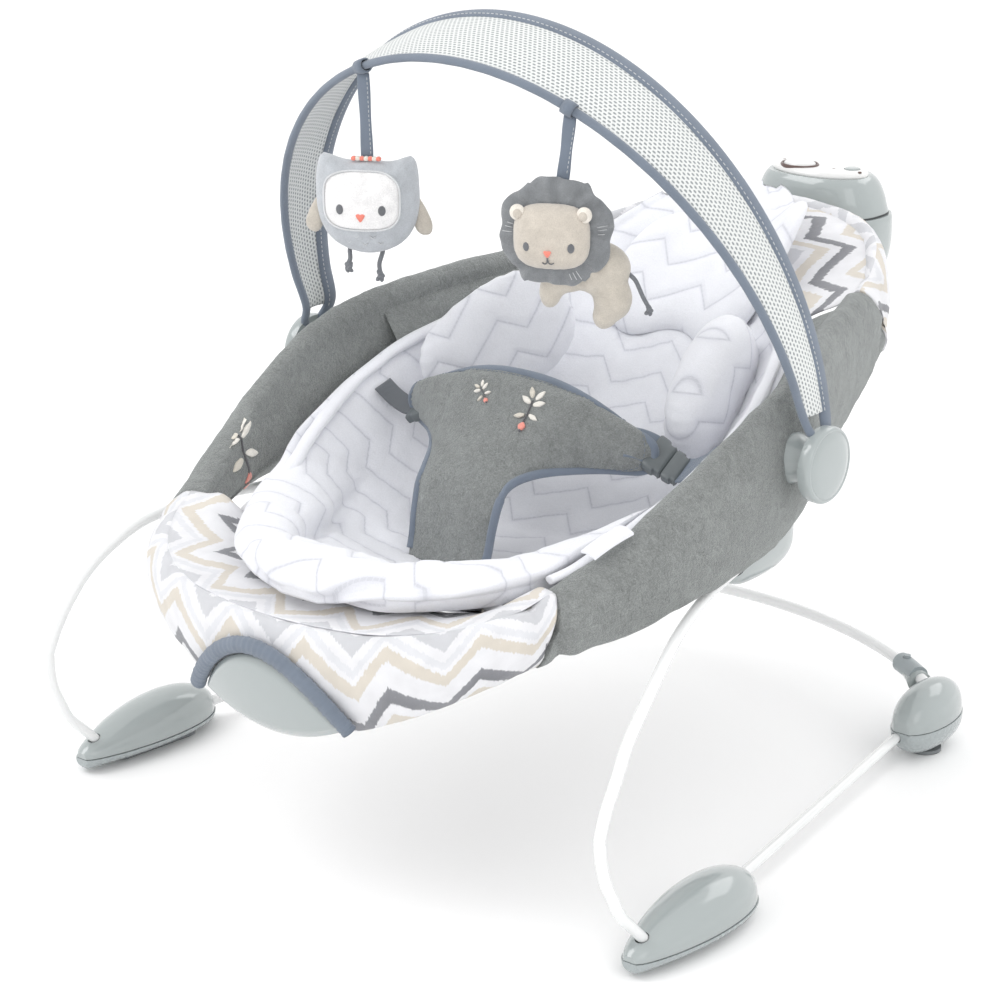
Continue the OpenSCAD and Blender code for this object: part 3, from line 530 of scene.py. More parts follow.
S, T, NN, UA, VA = pad_mesh("p", buck, M["quilt"])
ni, nj = T.shape[:2]
side = UA.max(1)[:, None] - np.abs(UA)                # distance from the side edges
front = VA - 0.0; back = VA.max() - VA
edge = np.minimum(side, np.minimum(front + 2, back + 2))
# thick soft border round the foot end, fading up the sides
yv = T[..., 1]
fade = np.clip((-150 - yv) / 90, 0, 1)
roll = 13.5 * np.sqrt(np.clip(1 - ((edge - 27) / 29) ** 2, 0, 1)) * fade
crease = -7.0 * np.exp(-((edge - 59) / 5.5) ** 2) * fade
lobes = 7 * np.exp(-((np.abs(UA) - 92) / 40) ** 2) * np.exp(-((yv + 262) / 36) ** 2)
hip = -3.5 * np.exp(-((yv + 96 - 10 * (UA / 120) ** 2) / 7) ** 2) * np.clip(1 - np.abs(UA) / 150, 0, 1)
wr1 = np.array([[nz(T[i, j], 38, 5.0) * 2.2 + nz(T[i, j], 15, 2.0) * .9 for j in range(nj)] for i in range(ni)])
q = stitch_dist(UA + 3000, VA + 3000)
quilt = 1.5 * (1 - np.exp(-(q / 2.6) ** 2)) - .9
calm = np.clip((side - 4) / 26, 0, 1) * np.clip((edge + 2) / 14, .25, 1)
pull = 2.0 * np.sin(np.arctan2(yv + 300, UA) * 22) * np.exp(-((edge - 60) / 12) ** 2) * fade * .6
H = roll + crease + lobes + hip + wr1 + quilt * calm + pull
H = H * np.where(yv > 120, np.clip((back - 3) / 26, 0, 1), 1)
round_edge = -3.0 * np.exp(-(side / 5) ** 2) - 2.0 * np.exp(-((front + 1) / 7) ** 2)
TOP = T + NN * (H + round_edge)[..., None]
thick = S[:, 4][:, None] * np.ones(nj)
BOT = T - NN * (thick * np.clip(np.sqrt(np.clip(edge / 14, 0, 1)), .35, 1))[..., None]
# closed skin: top grid, bottom grid and a rounded edge between them
def shell_from(TOP, BOT, uv, name, mat, bulge=4.0, steps=4):
    ni, nj = TOP.shape[:2]
    V = TOP.reshape(-1, 3).tolist() + BOT.reshape(-1, 3).tolist(); off = ni * nj; F = []; UVs = []
    for i in range(ni - 1):
        for j in range(nj - 1):
            a, b, c, d = i * nj + j, i * nj + j + 1, (i + 1) * nj + j + 1, (i + 1) * nj + j
            F.append((a, b, c, d)); UVs.append([uv[a], uv[b], uv[c], uv[d]])
            F.append((off + d, off + c, off + b, off + a)); UVs.append([uv[d], uv[c], uv[b], uv[a]])
    per = [i * nj for i in range(ni)] + [(ni - 1) * nj + j for j in range(1, nj)] + [i * nj + nj - 1 for i in range(ni - 2, -1, -1)] + [j for j in range(nj - 2, 0, -1)]
    tp = TOP.reshape(-1, 3); bt = BOT.reshape(-1, 3); cen = tp.mean(0); L = len(per)
    prev = per
    P = A([tp[k] for k in per]); tan = np.roll(P, -1, 0) - np.roll(P, 1, 0)
    up = A([tp[k] - bt[k] for k in per]); out = np.cross(up, tan); out /= np.maximum(1e-9, np.linalg.norm(out, axis=1))[:, None]
    if np.mean(np.sum(out * (P - cen), 1)) < 0: out = -out
    for q_ in range(1, steps):
        t = q_ / steps; st = len(V)
        for k, kk in enumerate(per): V.append((tp[kk] * (1 - t) + bt[kk] * t + out[k] * bulge * math.sin(math.pi * t)).tolist())
        cur = list(range(st, st + L))
        for k in range(L):
            F.append((prev[k], prev[(k + 1) % L], cur[(k + 1) % L], cur[k])); UVs.append([uv[per[k]], uv[per[(k + 1) % L]], uv[per[(k + 1) % L]], uv[per[k]]])
        prev = cur
    for k in range(L):
        F.append((prev[k], prev[(k + 1) % L], off + per[(k + 1) % L], off + per[k])); UVs.append([uv[per[k]], uv[per[(k + 1) % L]], uv[per[(k + 1) % L]], uv[per[k]]])
    return make(name, V, F, mat, UVs)
uvp = np.stack([(UA + 3000) * .001, (VA + 3000) * .001], 2).reshape(-1, 2).tolist()
pad = shell_from(TOP, BOT, uvp, "quilted_insert", M["quilt"], bulge=5)
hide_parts("insert_pad"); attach(pad, "seat")

def pad_point(y, a, up=0.0):
    "point on the insert's top at station y and share a of the half width"
    Sx = S; k = np.interp(y, Sx[:, 0], np.arange(len(Sx))); i = int(k); f = k - i; i2 = min(i + 1, len(Sx) - 1)
    _, zc, hw, sr, th = Sx[i] * (1 - f) + Sx[i2] * f
    return A([padx(y) + hw * np.sign(a) * abs(a) ** .85, y, zc + sr * abs(a) ** 2.6 + up])

# sling of print cloth under the insert
sl = [b for b in buck if -300 < b[0] < 150]
SS = curve(sl, 5); rows = []
for (y, zc, hw, sr, th) in SS:
    a = np.linspace(-1, 1, 60); rows.append(np.stack([padx(y) + (hw + 12) * np.sign(a) * np.abs(a) ** .85, np.full(60, y), zc - 15.4 + sr * np.abs(a) ** 2.6], 1))
rows = A(rows); low = rows - [0, 0, 2.2]
ua = np.cumsum(np.linalg.norm(np.diff(rows, axis=1, prepend=rows[:, :1]), axis=2), axis=1); va = np.repeat(np.concatenate([[0], np.cumsum(np.hypot(np.diff(SS[:, 0]), np.diff(SS[:, 1])))])[:, None], 60, 1)
sling = shell_from(rows, low, np.stack([ua * .001, va * .001], 2).reshape(-1, 2).tolist(), "seat_sling_cloth", M["chevron"], bulge=.4, steps=2)
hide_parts("seat_sling"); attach(sling, "seat")

# ---------------------------------------------------------------- print cloth between the covers and the insert
def pad_z(x, y):
    k = np.interp(y, S[:, 0], np.arange(len(S))); i = int(k); f = k - i; i2 = min(i + 1, len(S) - 1)
    _, zc, hw, sr, th = S[i] * (1 - f) + S[i2] * f
    a = min(1.25, abs(x - padx(y)) / hw)
    return zc + sr * a ** (2.6 / .85)
def liner(name, C, n_in, depth, fn, mat):
    rows = []
    for c, n in zip(C, n_in):
        rows.append([fn(A(c), A(n), t) for t in np.linspace(0, 1, 22)])
    rows = A(rows)
    for i in range(len(rows)):
        for j in range(1, 22):
            rows[i, j, 2] += 1.2 * nz(rows[i, j], 20, 4.0) * min(1, j / 6)
    low = rows - [0, 0, 1.4]
    ua = np.repeat(np.concatenate([[0], np.cumsum(np.linalg.norm(np.diff(rows[:, 0], axis=0), axis=1))])[:, None], 22, 1); va = np.cumsum(np.linalg.norm(np.diff(rows, axis=1, prepend=rows[:, :1]), axis=2), axis=1)
    D1 = rows[1:, :-1] - rows[:-1, :-1]; D2 = rows[:-1, 1:] - rows[:-1, :-1]
    area = float(np.linalg.norm(np.cross(D1, D2), axis=2).sum()); U_ = float(ua.max())
    return shell_from(rows, low, np.stack([ua * .001 + 5, va * .001 + 5], 2).reshape(-1, 2).tolist(), name, mat, bulge=.3, steps=2), U_, area / U_
CF = curve(both(crest_f), 8); TFn = tangents(CF)
nin = A([unit([-t[1], t[0], 0]) for t in TFn])
if np.dot(nin[len(nin) // 2], [0, 1, 0]) < 0: nin = -nin
def ffoot(c, n, t):
    p = c + n * (4 + 92 * t); z0 = c[2] + 1.0 - 5 * t
    zb = pad_z(p[0], p[1]) - 19.5 - 3 * t if p[1] > -372 else z0
    w = min(1, max(0, (t - .12) / .3)); w = w * w * (3 - 2 * w)
    z = z0 * (1 - w) + min(zb, z0 + 14) * w
    return [p[0], p[1], z]
lf, lfu, lfv = liner("foot_inner_cloth", CF, nin, 96, ffoot, M["chevron"])
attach(lf, "seat")
hc_pts = crest_h
CHh = curve(both(hc_pts), 6); THn = tangents(CHh)
ninh = A([unit([-t[1], t[0], 0]) for t in THn])
if np.dot(ninh[len(ninh) // 2], [0, -1, 0]) < 0: ninh = -ninh
def padedge(y, s):
    p = pad_point(min(208, max(-60, y)), s); return p
def fhead(c, n, t):
    # towards the nearest part of the insert's edge
    yy = np.linspace(-130, 209, 80); s_ = 1 if c[0] >= 0 else -1
    E = A([pad_point(y, s_) for y in yy] + [pad_point(209, q_) for q_ in (-.8, -.4, 0, .4, .8)])
    e = E[np.argmin(np.linalg.norm(E[:, :2] - c[:2], axis=1))]
    g = e + unit([-(c[0] - e[0]), -(c[1] - e[1]), 0]) * 10 + A([0, 0, -24])
    c = c + unit(A([e[0] - c[0], e[1] - c[1], 0])) * 7 - A([0, 0, 5.0]); p = c * (1 - t) + g * t
    p[2] += 1.5 * math.sin(math.pi * t)
    return p.tolist()
lh, lhu, lhv = liner("head_inner_cloth", CHh, ninh, 60, fhead, M["chevron_head"])
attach(lh, "seat")

for s_, nm in ((1, "right"), (-1, "left")):
    CS = curve([[s_ * 202, -52, 340], [s_ * 196, -28, 345], [s_ * 177, 25, 351], [s_ * 162, 76, 355], [s_ * 151, 114, 359]], 10)
    sd, su, sv = liner("side_inner_cloth_" + nm, CS, [0] * len(CS), 40, lambda c, n, t: fhead(c - A([0, 0, 3]), n, t), M["plush"])
    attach(sd, "seat")

# ---------------------------------------------------------------- body wings and head support
def pillow(name, C, e1, e2, h1, h2, th, mat, ex=2.6, nr=26, na=96, q=1.6, bend=0.0, seed=0.0, uv0=(3.0, 3.0)):
    "quilted pillow in the plane of e1 and e2 with a rounded rectangle outline"
    C, e1, e2 = A(C), unit(e1), unit(A(e2) - np.dot(e2, unit(e1)) * unit(e1)); n = np.cross(e1, e2)
    V = []; F = []; UV = []; uvv = []
    def pt(r, a, side):
        ca, sa = math.cos(a), math.sin(a)
        x = h1 * r * math.copysign(abs(ca) ** (2 / ex), ca); y = h2 * r * math.copysign(abs(sa) ** (2 / ex), sa)
        puff = math.sqrt(max(0, 1 - r ** 3.4)); z = side * (th / 2 * puff)
        d = float(stitch_dist(np.array(x + 3000.), np.array(y + 3000.)))
        z += side * (1.3 * (1 - math.exp(-(d / 2.8) ** 2)) - .8) * min(1, (1 - r) * 5)
        z += side * 1.2 * nz((x, y, 40 * side), 22, seed) * min(1, (1 - r) * 4)
        z += bend * (x / h1) ** 2
        # rim pulled into small gathers
        g = 1 - .007 * math.exp(-((1 - r) / .12) ** 2) * (1 + math.sin(a * 26 + seed))
        return C + e1 * x * g + e2 * y * g + n * z, ((x + 3000) * .001, (y + 3000) * .001)
    rs = [math.sin(math.pi / 2 * (k + 1) / nr) for k in range(nr)]
    for side in (1, -1):
        st = len(V); V.append(pt(0, 0, side)[0].tolist()); uvv.append(pt(0, 0, side)[1])
        for r in rs if side > 0 else rs[:-1]:
            for k in range(na):
                p, u = pt(r, 2 * math.pi * k / na, side); V.append(p.tolist()); uvv.append(u)
        cnt = nr if side > 0 else nr - 1
        ix = lambda i, k: st + 1 + i * na + k % na
        for k in range(na): F.append((st, ix(0, k), ix(0, k + 1)) if side > 0 else (st, ix(0, k + 1), ix(0, k)))
        for i in range(cnt - 1):
            for k in range(na): F.append((ix(i, k), ix(i + 1, k), ix(i + 1, k + 1), ix(i, k + 1)))
        if side > 0: rim = [ix(nr - 1, k) for k in range(na)]
        else:
            for k in range(na): F.append((ix(cnt - 1, k), rim[k], rim[(k + 1) % na], ix(cnt - 1, k + 1)))
    return make(name, V, F, mat, [[uvv[i] for i in f] for f in F])

wL = dict(C=(-98, -22, 306), e1=(.45, .72, .53), e2=(-.30, -.30, .90), h1=68, h2=46, th=25)
for s, nm in ((-1, "left"), (1, "right")):
    C = A(wL["C"]) * [-s, 1, 1]; e1 = A(wL["e1"]) * [-s, 1, 1]; e2 = A(wL["e2"]) * [-s, 1, 1]
    if s > 0: C = A([93, -4, 299]); e1 = A([-.16, .80, .52]); e2 = A([.05, -.52, .80])
    o = pillow("body_wing_" + nm, C, e1, e2, 66 if s < 0 else 64, 46 if s < 0 else 36, 25 if s < 0 else 46, M["quilt"], seed=s * 2.0)
    inflate(o, 3.0, frames=12)
    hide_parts("support_wing_" + nm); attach(o, "seat")

def pad_z(x, y):
    k = np.interp(y, S[:, 0], np.arange(len(S))); i = int(k); f = k - i; i2 = min(i + 1, len(S) - 1)
    _, zc, hw, sr, th = S[i] * (1 - f) + S[i2] * f
    a = abs(x - padx(y)) / hw
    return zc + sr * (a / 1.0) ** (2.6 / .85)

def on_pad(name, x0, y0, hx, hy, h, mat, ex=2.4, nr=30, na=120, notch=0.0, seed=0.0, lobes=0.0):
    "soft pillow lying on the insert; notch pulls the lower edge up in the middle"
    V = []; uvv = []; F = []
    rs = [math.sin(math.pi / 2 * (k + 1) / nr) for k in range(nr)]
    def pt(r, a, side):
        ca, sa = math.cos(a), math.sin(a)
        x = hx * r * math.copysign(abs(ca) ** (2 / ex), ca); y = hy * r * math.copysign(abs(sa) ** (2 / ex), sa)
        if sa < 0: y *= 1 - notch * math.exp(-(x / (hx * .45)) ** 2) * abs(sa)
        X, Y = x0 + x, y0 + y; Z = pad_z(X, Y) + 3
        g = 1.0; e = 1 - r
        d = float(stitch_dist(np.array(x + 3000.), np.array(y + 3000.)))
        up = h * math.sqrt(max(0, 1 - r ** 4)) * (1 + lobes * (x / hx) ** 2) + (1.3 * (1 - math.exp(-(d / 2.8) ** 2)) - .8) * min(1, e * 5) + 1.4 * nz((X, Y, 0), 26, seed)
        n = unit([-.0, -.55, .84])
        p = A([X, Y, Z]) + (n * up if side > 0 else -n * 3.0 * math.sqrt(max(0, 1 - r ** 4)))
        return p, ((x + 3000) * .001, (y + 3000) * .001)
    for side in (1, -1):
        st = len(V); p, u = pt(0, 0, side); V.append(p.tolist()); uvv.append(u)
        for r in rs if side > 0 else rs[:-1]:
            for k in range(na):
                p, u = pt(r, 2 * math.pi * k / na, side); V.append(p.tolist()); uvv.append(u)
        cnt = nr if side > 0 else nr - 1
        ix = lambda i, k: st + 1 + i * na + k % na
        for k in range(na): F.append((st, ix(0, k), ix(0, k + 1)))
        for i in range(cnt - 1):
            for k in range(na): F.append((ix(i, k), ix(i + 1, k), ix(i + 1, k + 1), ix(i, k + 1)))
        if side > 0: rim = [ix(nr - 1, k) for k in range(na)]
        else:
            for k in range(na): F.append((ix(cnt - 1, k), rim[k], rim[(k + 1) % na], ix(cnt - 1, k + 1)))
    return make(name, V, F, mat, [[uvv[i] for i in f] for f in F])

hs = on_pad("head_support_pillow", 0, 122, 80, 62, 13, M["quilt"], notch=.35, seed=4.2, lobes=.8)
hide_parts("head_support"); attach(hs, "seat")

# ---------------------------------------------------------------- harness
hz = [[-196,190,34],[-190,204,35.5],[-186,222,36.5],[-179,243,38],[-171,256,41],[-162,266,52],[-152,276,74],[-142,286,97],[-130,299,105],[-118,311,103],[-109,318,96]]
HZ = curve(hz, 8); nh = len(HZ); na_ = 71
aa = np.linspace(-1, 1, na_)
v_ = np.linspace(0, 1, nh)
rowsH = []
for i, (y, z, w) in enumerate(HZ):
    wv = w * (1 - .12 * max(0, (v_[i] - .93) / .07) ** 2); k_ = min(1, max(0, (w - 38) / 62)); ox = -7.0 * (1 - k_) - 3.0
    ws = np.where(aa < 0, 1 + .15 * k_, 1 + .06 * k_)
    rowsH.append(np.stack([ox + wv * ws * aa, y + (-98 - y) * k_ * np.abs(aa) ** 2.2, z - (22 + 8 * v_[i]) * k_ * np.abs(aa) ** 2.3], 1))
HT = A(rowsH); gu = np.gradient(HT, axis=0); gv = np.gradient(HT, axis=1); HN = np.cross(gv, gu); HN /= np.linalg.norm(HN, axis=2)[..., None]
if HN[..., 1].mean() > 0: HN = -HN
uH = np.cumsum(np.linalg.norm(np.diff(HT, axis=1, prepend=HT[:, :1]), axis=2), axis=1); vH = np.repeat(np.concatenate([[0], np.cumsum(np.linalg.norm(np.diff(HT[:, na_ // 2], axis=0), axis=1))])[:, None], na_, 1)
edgeH = np.minimum(np.minimum(uH, uH.max(1)[:, None] - uH), vH.max() - vH)
puffH = 3.4 * (1 - np.exp(-(edgeH / 9) ** 2)) + A([[1.5 * nz(HT[i, j], 30, 7.0) + .6 * nz(HT[i, j], 11, 2.0) for j in range(na_)] for i in range(nh)])
# two faint quilting creases across the waist
creaseH = -1.6 * np.exp(-((np.abs(HT[..., 0]) - 62) / 3.0) ** 2) * np.clip((vH / vH.max() - .55) * 6, 0, 1)
TH = HT + HN * (puffH + creaseH)[..., None]; BH = HT - HN * 5.0
panel = shell_from(TH, BH, np.stack([uH * .001, vH * .001], 2).reshape(-1, 2).tolist(), "harness_plush_panel", M["plush"], bulge=2, steps=4)
edge_path = [HT[i, 0] - HN[i, 0] * 1.0 for i in range(3, nh)] + [HT[nh - 1, j] - HN[nh - 1, j] * 1.0 for j in range(2, na_ - 2, 2)] + [HT[i, na_ - 1] - HN[i, na_ - 1] * 1.0 for i in range(nh - 1, 2, -1)]
edge_path = resample(curve(resample(edge_path, 70), 4), 330)
bind = tube("harness_binding", edge_path, 3.4, M["slate"], ref=(.2, .5, .84), k=14, ell=(.72, 1.0))
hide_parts("harness_panel"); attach(panel, "seat")
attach(bind, "seat")

def stitches(name, P, mat, off=None, length=2.6, gap=1.5, r=.28):
    "a row of raised stitches along P"
    P = A(P); s = np.concatenate([[0], np.cumsum(np.linalg.norm(np.diff(P, axis=0), axis=1))]); L = s[-1]; k = 0.0; V = []; F = []
    at_ = lambda d: A([np.interp(d, s, P[:, c]) for c in range(3)])
    while k + length < L:
        a, m, b = at_(k), at_(k + length / 2), at_(k + length); t = unit(b - a); rf = A([.31, .2, .93]) if abs(t[2]) < .9 else A([1, 0, 0])
        x = unit(np.cross(t, rf)); y = np.cross(t, x); st = len(V)
        for q_, rr in ((0, .5), (.15, 1), (.85, 1), (1, .5)):
            c = a + (b - a) * q_
            for j in range(5): V.append((c + r * rr * (math.cos(j * 2 * math.pi / 5) * x + math.sin(j * 2 * math.pi / 5) * y)).tolist())
        for i in range(3):
            for j in range(5): F.append((st + i * 5 + j, st + i * 5 + (j + 1) % 5, st + (i + 1) * 5 + (j + 1) % 5, st + (i + 1) * 5 + j))
        F.append([st + j for j in range(4, -1, -1)]); F.append([st + 15 + j for j in range(5)])
        k += length + gap
    return make(name, V, F, mat)

def inset(i0, i1, j):
    return [TH[i, j] + HN[i, j] * .35 for i in range(i0, i1)]
stH = stitches("harness_stitching", resample(inset(4, nh - 3, 2), 200), M["slate"])
stH2 = stitches("harness_stitching_2", resample(inset(4, nh - 3, na_ - 3), 200), M["slate"])
stH3 = stitches("harness_stitching_3", resample([TH[nh - 4, j] + HN[nh - 4, j] * .35 for j in range(4, na_ - 4)], 200), M["slate"])
for o in (stH, stH2, stH3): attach(o, "seat")

# small plain embroidery: a sprig with leaves and a bud
def satin(name, C, e1, e2, n, h1, h2, rgb, lift=.9, tip=1.0):
    V = []; F = []; na = 28; C, e1, e2, n = A(C), unit(e1), unit(e2), unit(n)
    for r, z in ((1, 0), (.93, .7), (.6, 1.0)):
        for k in range(na):
            a = 2 * math.pi * k / na; ca, sa = math.cos(a), math.sin(a)
            x = h1 * r * ca; y = h2 * r * sa * (1 - tip * .55 * (ca + 1) / 2 * abs(ca)); V.append((C + e1 * x + e2 * y + n * z * lift).tolist())
    V.append((C + n * lift).tolist())
    for i in range(2):
        for k in range(na): F.append((i * na + k, i * na + (k + 1) % na, (i + 1) * na + (k + 1) % na, (i + 1) * na + k))
    for k in range(na): F.append((2 * na + k, 2 * na + (k + 1) % na, 3 * na))
    V.extend([(A(v) - n * .8).tolist() for v in V[:na]]); b = 3 * na + 1
    for k in range(na): F.append((b + k, b + (k + 1) % na, (k + 1) % na, k))
    F.append([b + k for k in range(na - 1, -1, -1)])
    key = "satin_%d_%d_%d" % rgb
    if key not in M:
        s = Mat(key, rgb, .55, sheen=.4, spec=.3); st = s.noise(1.0, 2, .6, vec=s.mapped((300, 300, 2600))); s.color(s.vary(st, .84, 1.08)); s.bump(st, .0004, .9); M[key] = s.m
    return make(name, V, F, M[key])
def sprig(name, P, n, up, sc=1.0):
    P, n = A(P), unit(n); up = unit(A(up) - np.dot(up, n) * n); sd = np.cross(up, n); L = []
    IV, GR, CO, DK = (236, 232, 224), (214, 208, 196), (236, 152, 138), (96, 96, 100)
    def leaf(dx, dy, ang, h1, h2, c, t=1.0):
        d = sd * math.cos(math.radians(ang)) + up * math.sin(math.radians(ang)); e = np.cross(n, d)
        L.append(satin(name + "_%d" % len(L), P + (sd * dx + up * dy) * sc, d, e, n, h1 * sc, h2 * sc, c, tip=t))
    for dx, dy, an, a, b, c in ((0, 0, 92, 7, .45, DK), (0, -9, 84, 6, .45, DK), (6, 5, 25, 5.2, 2.4, IV), (-6, 6, 155, 5.2, 2.4, IV), (4, 12, 62, 5, 2.2, IV), (-4, 13, 118, 5, 2.2, GR), (6, -7, -18, 4.6, 2.0, IV), (-6, -8, 200, 4.6, 2.0, GR), (0, -16, 90, 3.6, 3.2, CO), (0, -20, 90, 1.2, 1.2, DK)):
        leaf(dx, dy, an, a, b, c)
    return join(L, name)
ci, cj = int(nh * .80), int(na_ * .60)
mo = sprig("harness_embroidery", TH[ci, cj] + HN[ci, cj] * .4, HN[ci, cj], TH[ci + 6, cj] - TH[ci, cj], .95)
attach(mo, "seat")
ci2, cj2 = int(nh * .82), int(na_ * .40)
mo2 = sprig("harness_embroidery_small", TH[ci2, cj2] + HN[ci2, cj2] * .4, HN[ci2, cj2], TH[ci2 + 6, cj2 - 4] - TH[ci2, cj2], .6)
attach(mo2, "seat")

# straps and buckles
def rbox(name, rows, mat, k=28, ex=.35):
    "rows: centre, half a, half b, axis a, axis b"
    R = []
    for c, ha, hb, a, b in rows:
        a, b = unit(a), unit(b)
        R.append([A(c) + a * ha * math.copysign(abs(math.cos(t)) ** ex, math.cos(t)) + b * hb * math.copysign(abs(math.sin(t)) ** ex, math.sin(t)) for t in [2 * math.pi * j / k for j in range(k)]])
    return loft(name, R, mat, auto=38)
def buckle(name, x0, x1, y, z0, z1, w, t, s=1, groove=True, ends=True):
    d = unit(A([x1, y, z1]) - A([x0, y, z0])); a = unit([0, 12, 7.0 * 12 / 12]); b = unit(np.cross(d, a)); L = np.linalg.norm(A([x1, y, z1]) - A([x0, y, z0])); rows = []
    prof = [(0, .80, .55), (.04, .95, .88), (.12, 1, 1), (.50, 1, 1), (.60, .97, 1), (.66, .86, 1), (.84, .86, .98), (.92, .92, .9), (1, .84, .6)] if groove else [(0, .8, .5), (.06, .95, .9), (.2, 1, 1), (.8, 1, 1), (.94, .95, .9), (1, .8, .5)]
    for u, fa, fb in prof: rows.append((A([x0, y, z0]) + d * L * u + [0, 0, 1.0], w * fa, t * fb, a, b))
    o = rbox(name, rows, M["buckle"])
    return o
def mirx(o):
    for v in o.data.vertices: v.co.x *= -1
    o.data.flip_normals()
bsr = buckle("side_release_socket", 100.5, 116.3, -92, 273, 266, 15.4, 5.0)
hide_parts("buckle_socket_right"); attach(bsr, "seat")
bpr = buckle("side_release_plug", 116.9, 129.4, -92, 266, 262, 13.6, 4.2)
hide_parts("buckle_plug_right"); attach(bpr, "seat")
bl = buckle("side_release_left", 100.5, 119.4, -98, 273, 264, 14.6, 4.6); mirx(bl)
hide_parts("buckle_left"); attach(bl, "seat")
def strap(name, pts, wdir, hw, mat, th=.8, s=1):
    P = curve(pts, 8); W = unit(wdir); R = []
    for p, t in zip(P, tangents(P)):
        w = unit(W - np.dot(W, t) * t); n = np.cross(t, w)
        R.append([p + w * hw * c + n * th * d for c, d in ((-1, -1), (-1, 1), (-.9, 1.25), (-.3, 1), (.3, 1), (.9, 1.25), (1, 1), (1, -1), (.9, -1.25), (-.9, -1.25))])
    R = A(R)
    if s < 0: R[..., 0] *= -1
    return loft(name, R, mat)
M["strap_grey"] = weave("strap_grey", (104, 108, 113), uv=False)
sr = strap("harness_strap_r", [[127,-92,264.5],[133,-92,265.5],[139,-93,268.5],[146,-94,273],[156,-96,282]], (0,12,7), 12, M["slate"])
sl_ = strap("harness_strap_l", [[117,-98,267],[125,-98,266.5],[133,-98,268.5],[142,-98,272.5],[152,-99,280]], (0,12,7), 8, M["strap_grey"], s=-1)
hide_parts("harness_strap_right"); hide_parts("harness_strap_left")
for o in (sr, sl_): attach(o, "seat")
loopR = strap("harness_loop_r", [[86,-104,281],[94,-98,279],[101,-93,275.5],[104,-92,273]], (0,12,7), 13, M["slate"], th=1.6)
loopL = strap("harness_loop_l", [[86,-104,281],[94,-101,279],[101,-99,275.5],[104,-98,272.5]], (0,12,7), 9, M["strap_grey"], th=1.6, s=-1)
for o in (loopR, loopL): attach(o, "seat")

# blank sewn tag over the right-hand crest
tg = []
for k in range(13):
    u = k / 12; x, y, z = 172 + 10 * u, -270 + 30 * u, 262.5 + 12 * u; b = math.sin(math.pi * u) * 1.0
    top = [[x - 1 + 11 * q_, y + q_, z - 3.2 * q_ + 1.0 + b + 1.2 * math.sin(math.pi * q_)] for q_ in np.linspace(0, 1, 9)]
    bot = [[p[0] + .2, p[1], p[2] - 1.5] for p in top[::-1]]
    tg.append(top + bot)
tag = loft("blank_tag", tg, M["white_cloth"], auto=50)
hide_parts("rim_tag"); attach(tag, "seat")
ts = stitches("tag_stitching", [[174 + 8 * u, -268 + 26 * u, 264.4 + 10.4 * u] for u in np.linspace(0, 1, 30)], M["thread"], length=1.8, gap=1.2, r=.2)
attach(ts, "seat")

# ---------------------------------------------------------------- cover plate and gathered trim
def plate_y(x, z): return -393 - (z - 128) * .2 - 7 * math.sin(math.pi * min(1, max(0, (z - 120) / 100))) + x * x * .0021
plo = lambda x: 128 + 17 * (x / 64) ** 2
phi = lambda x: 188 - 43 * (x / 64) ** 2
rows = []; rb = []
for k in range(-30, 31):
    x = 63 * math.sin(k * math.pi / 60); a, b = plo(x), phi(x); rt_, rbk = [], []
    for j in range(21):
        t = j / 20; z = a + (b - a) * t; e = min(t, 1 - t) * max(4, (b - a)); ex = 63 - abs(x)
        lift = 3.0 * (1 - math.exp(-(min(e, ex * 1.2) / 3.0) ** 2))
        rt_.append([x, plate_y(x, z) - lift + 2.0, z]); rbk.append([x, plate_y(x, z) + 4.2, z])
    rows.append(rt_); rb.append(rbk)
pl = shell_from(A(rows), A(rb), [(0, 0)] * (61 * 21), "front_cover_plate", M["pod"], bulge=.6, steps=3)
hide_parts("front_plate"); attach(pl, "seat")
tp = A([[71 * math.sin(k * math.pi / 160), plate_y(71 * math.sin(k * math.pi / 160) * .95, 189 - 40 * math.sin(k * math.pi / 160) ** 2) + .5, 196 - 50 * math.sin(k * math.pi / 160) ** 2] for k in range(-80, 81)])
rad = [5.9 * (1 + .055 * math.sin(k * 1.9) + .03 * math.sin(k * .83 + 1)) * (1 if 3 < k < 158 else .8) for k in range(len(tp))]
trim = tube("gathered_trim", tp, rad, M["slate"], ref=(0, 1, 0), k=20, ell=(1.0, .86))
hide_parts("front_trim"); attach(trim, "seat")

# ---------------------------------------------------------------- frame wires, each side in one rod
leg_low = [[258.2,-363.3,108.4],[259,-362.8,96],[260,-359,80],[261,-352,65],[262,-344,50],[262,-330,35.5],[262,-316,21],[262,-309,14]]
leg_top = [[174,-50,199],[178,-75,202],[190,-125,204.5],[206,-178,206],[226,-234,204],[241,-275,196],[249,-305,181],[253,-327,165],[256,-343,146],[257,-355.5,128],[258,-363.1,111.6]]
for s, nm in ((1, "right"), (-1, "left")):
    P = resample(curve(leg_top + leg_low, 10), 190)
    o = tube("side_wire_" + nm, mir(P, s), 4.0, M["white_wire"], ref=(1, 0, 0), k=24)
    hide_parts("leg_wire_lower_" + nm, "leg_wire_upper_" + nm)
    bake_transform(o)

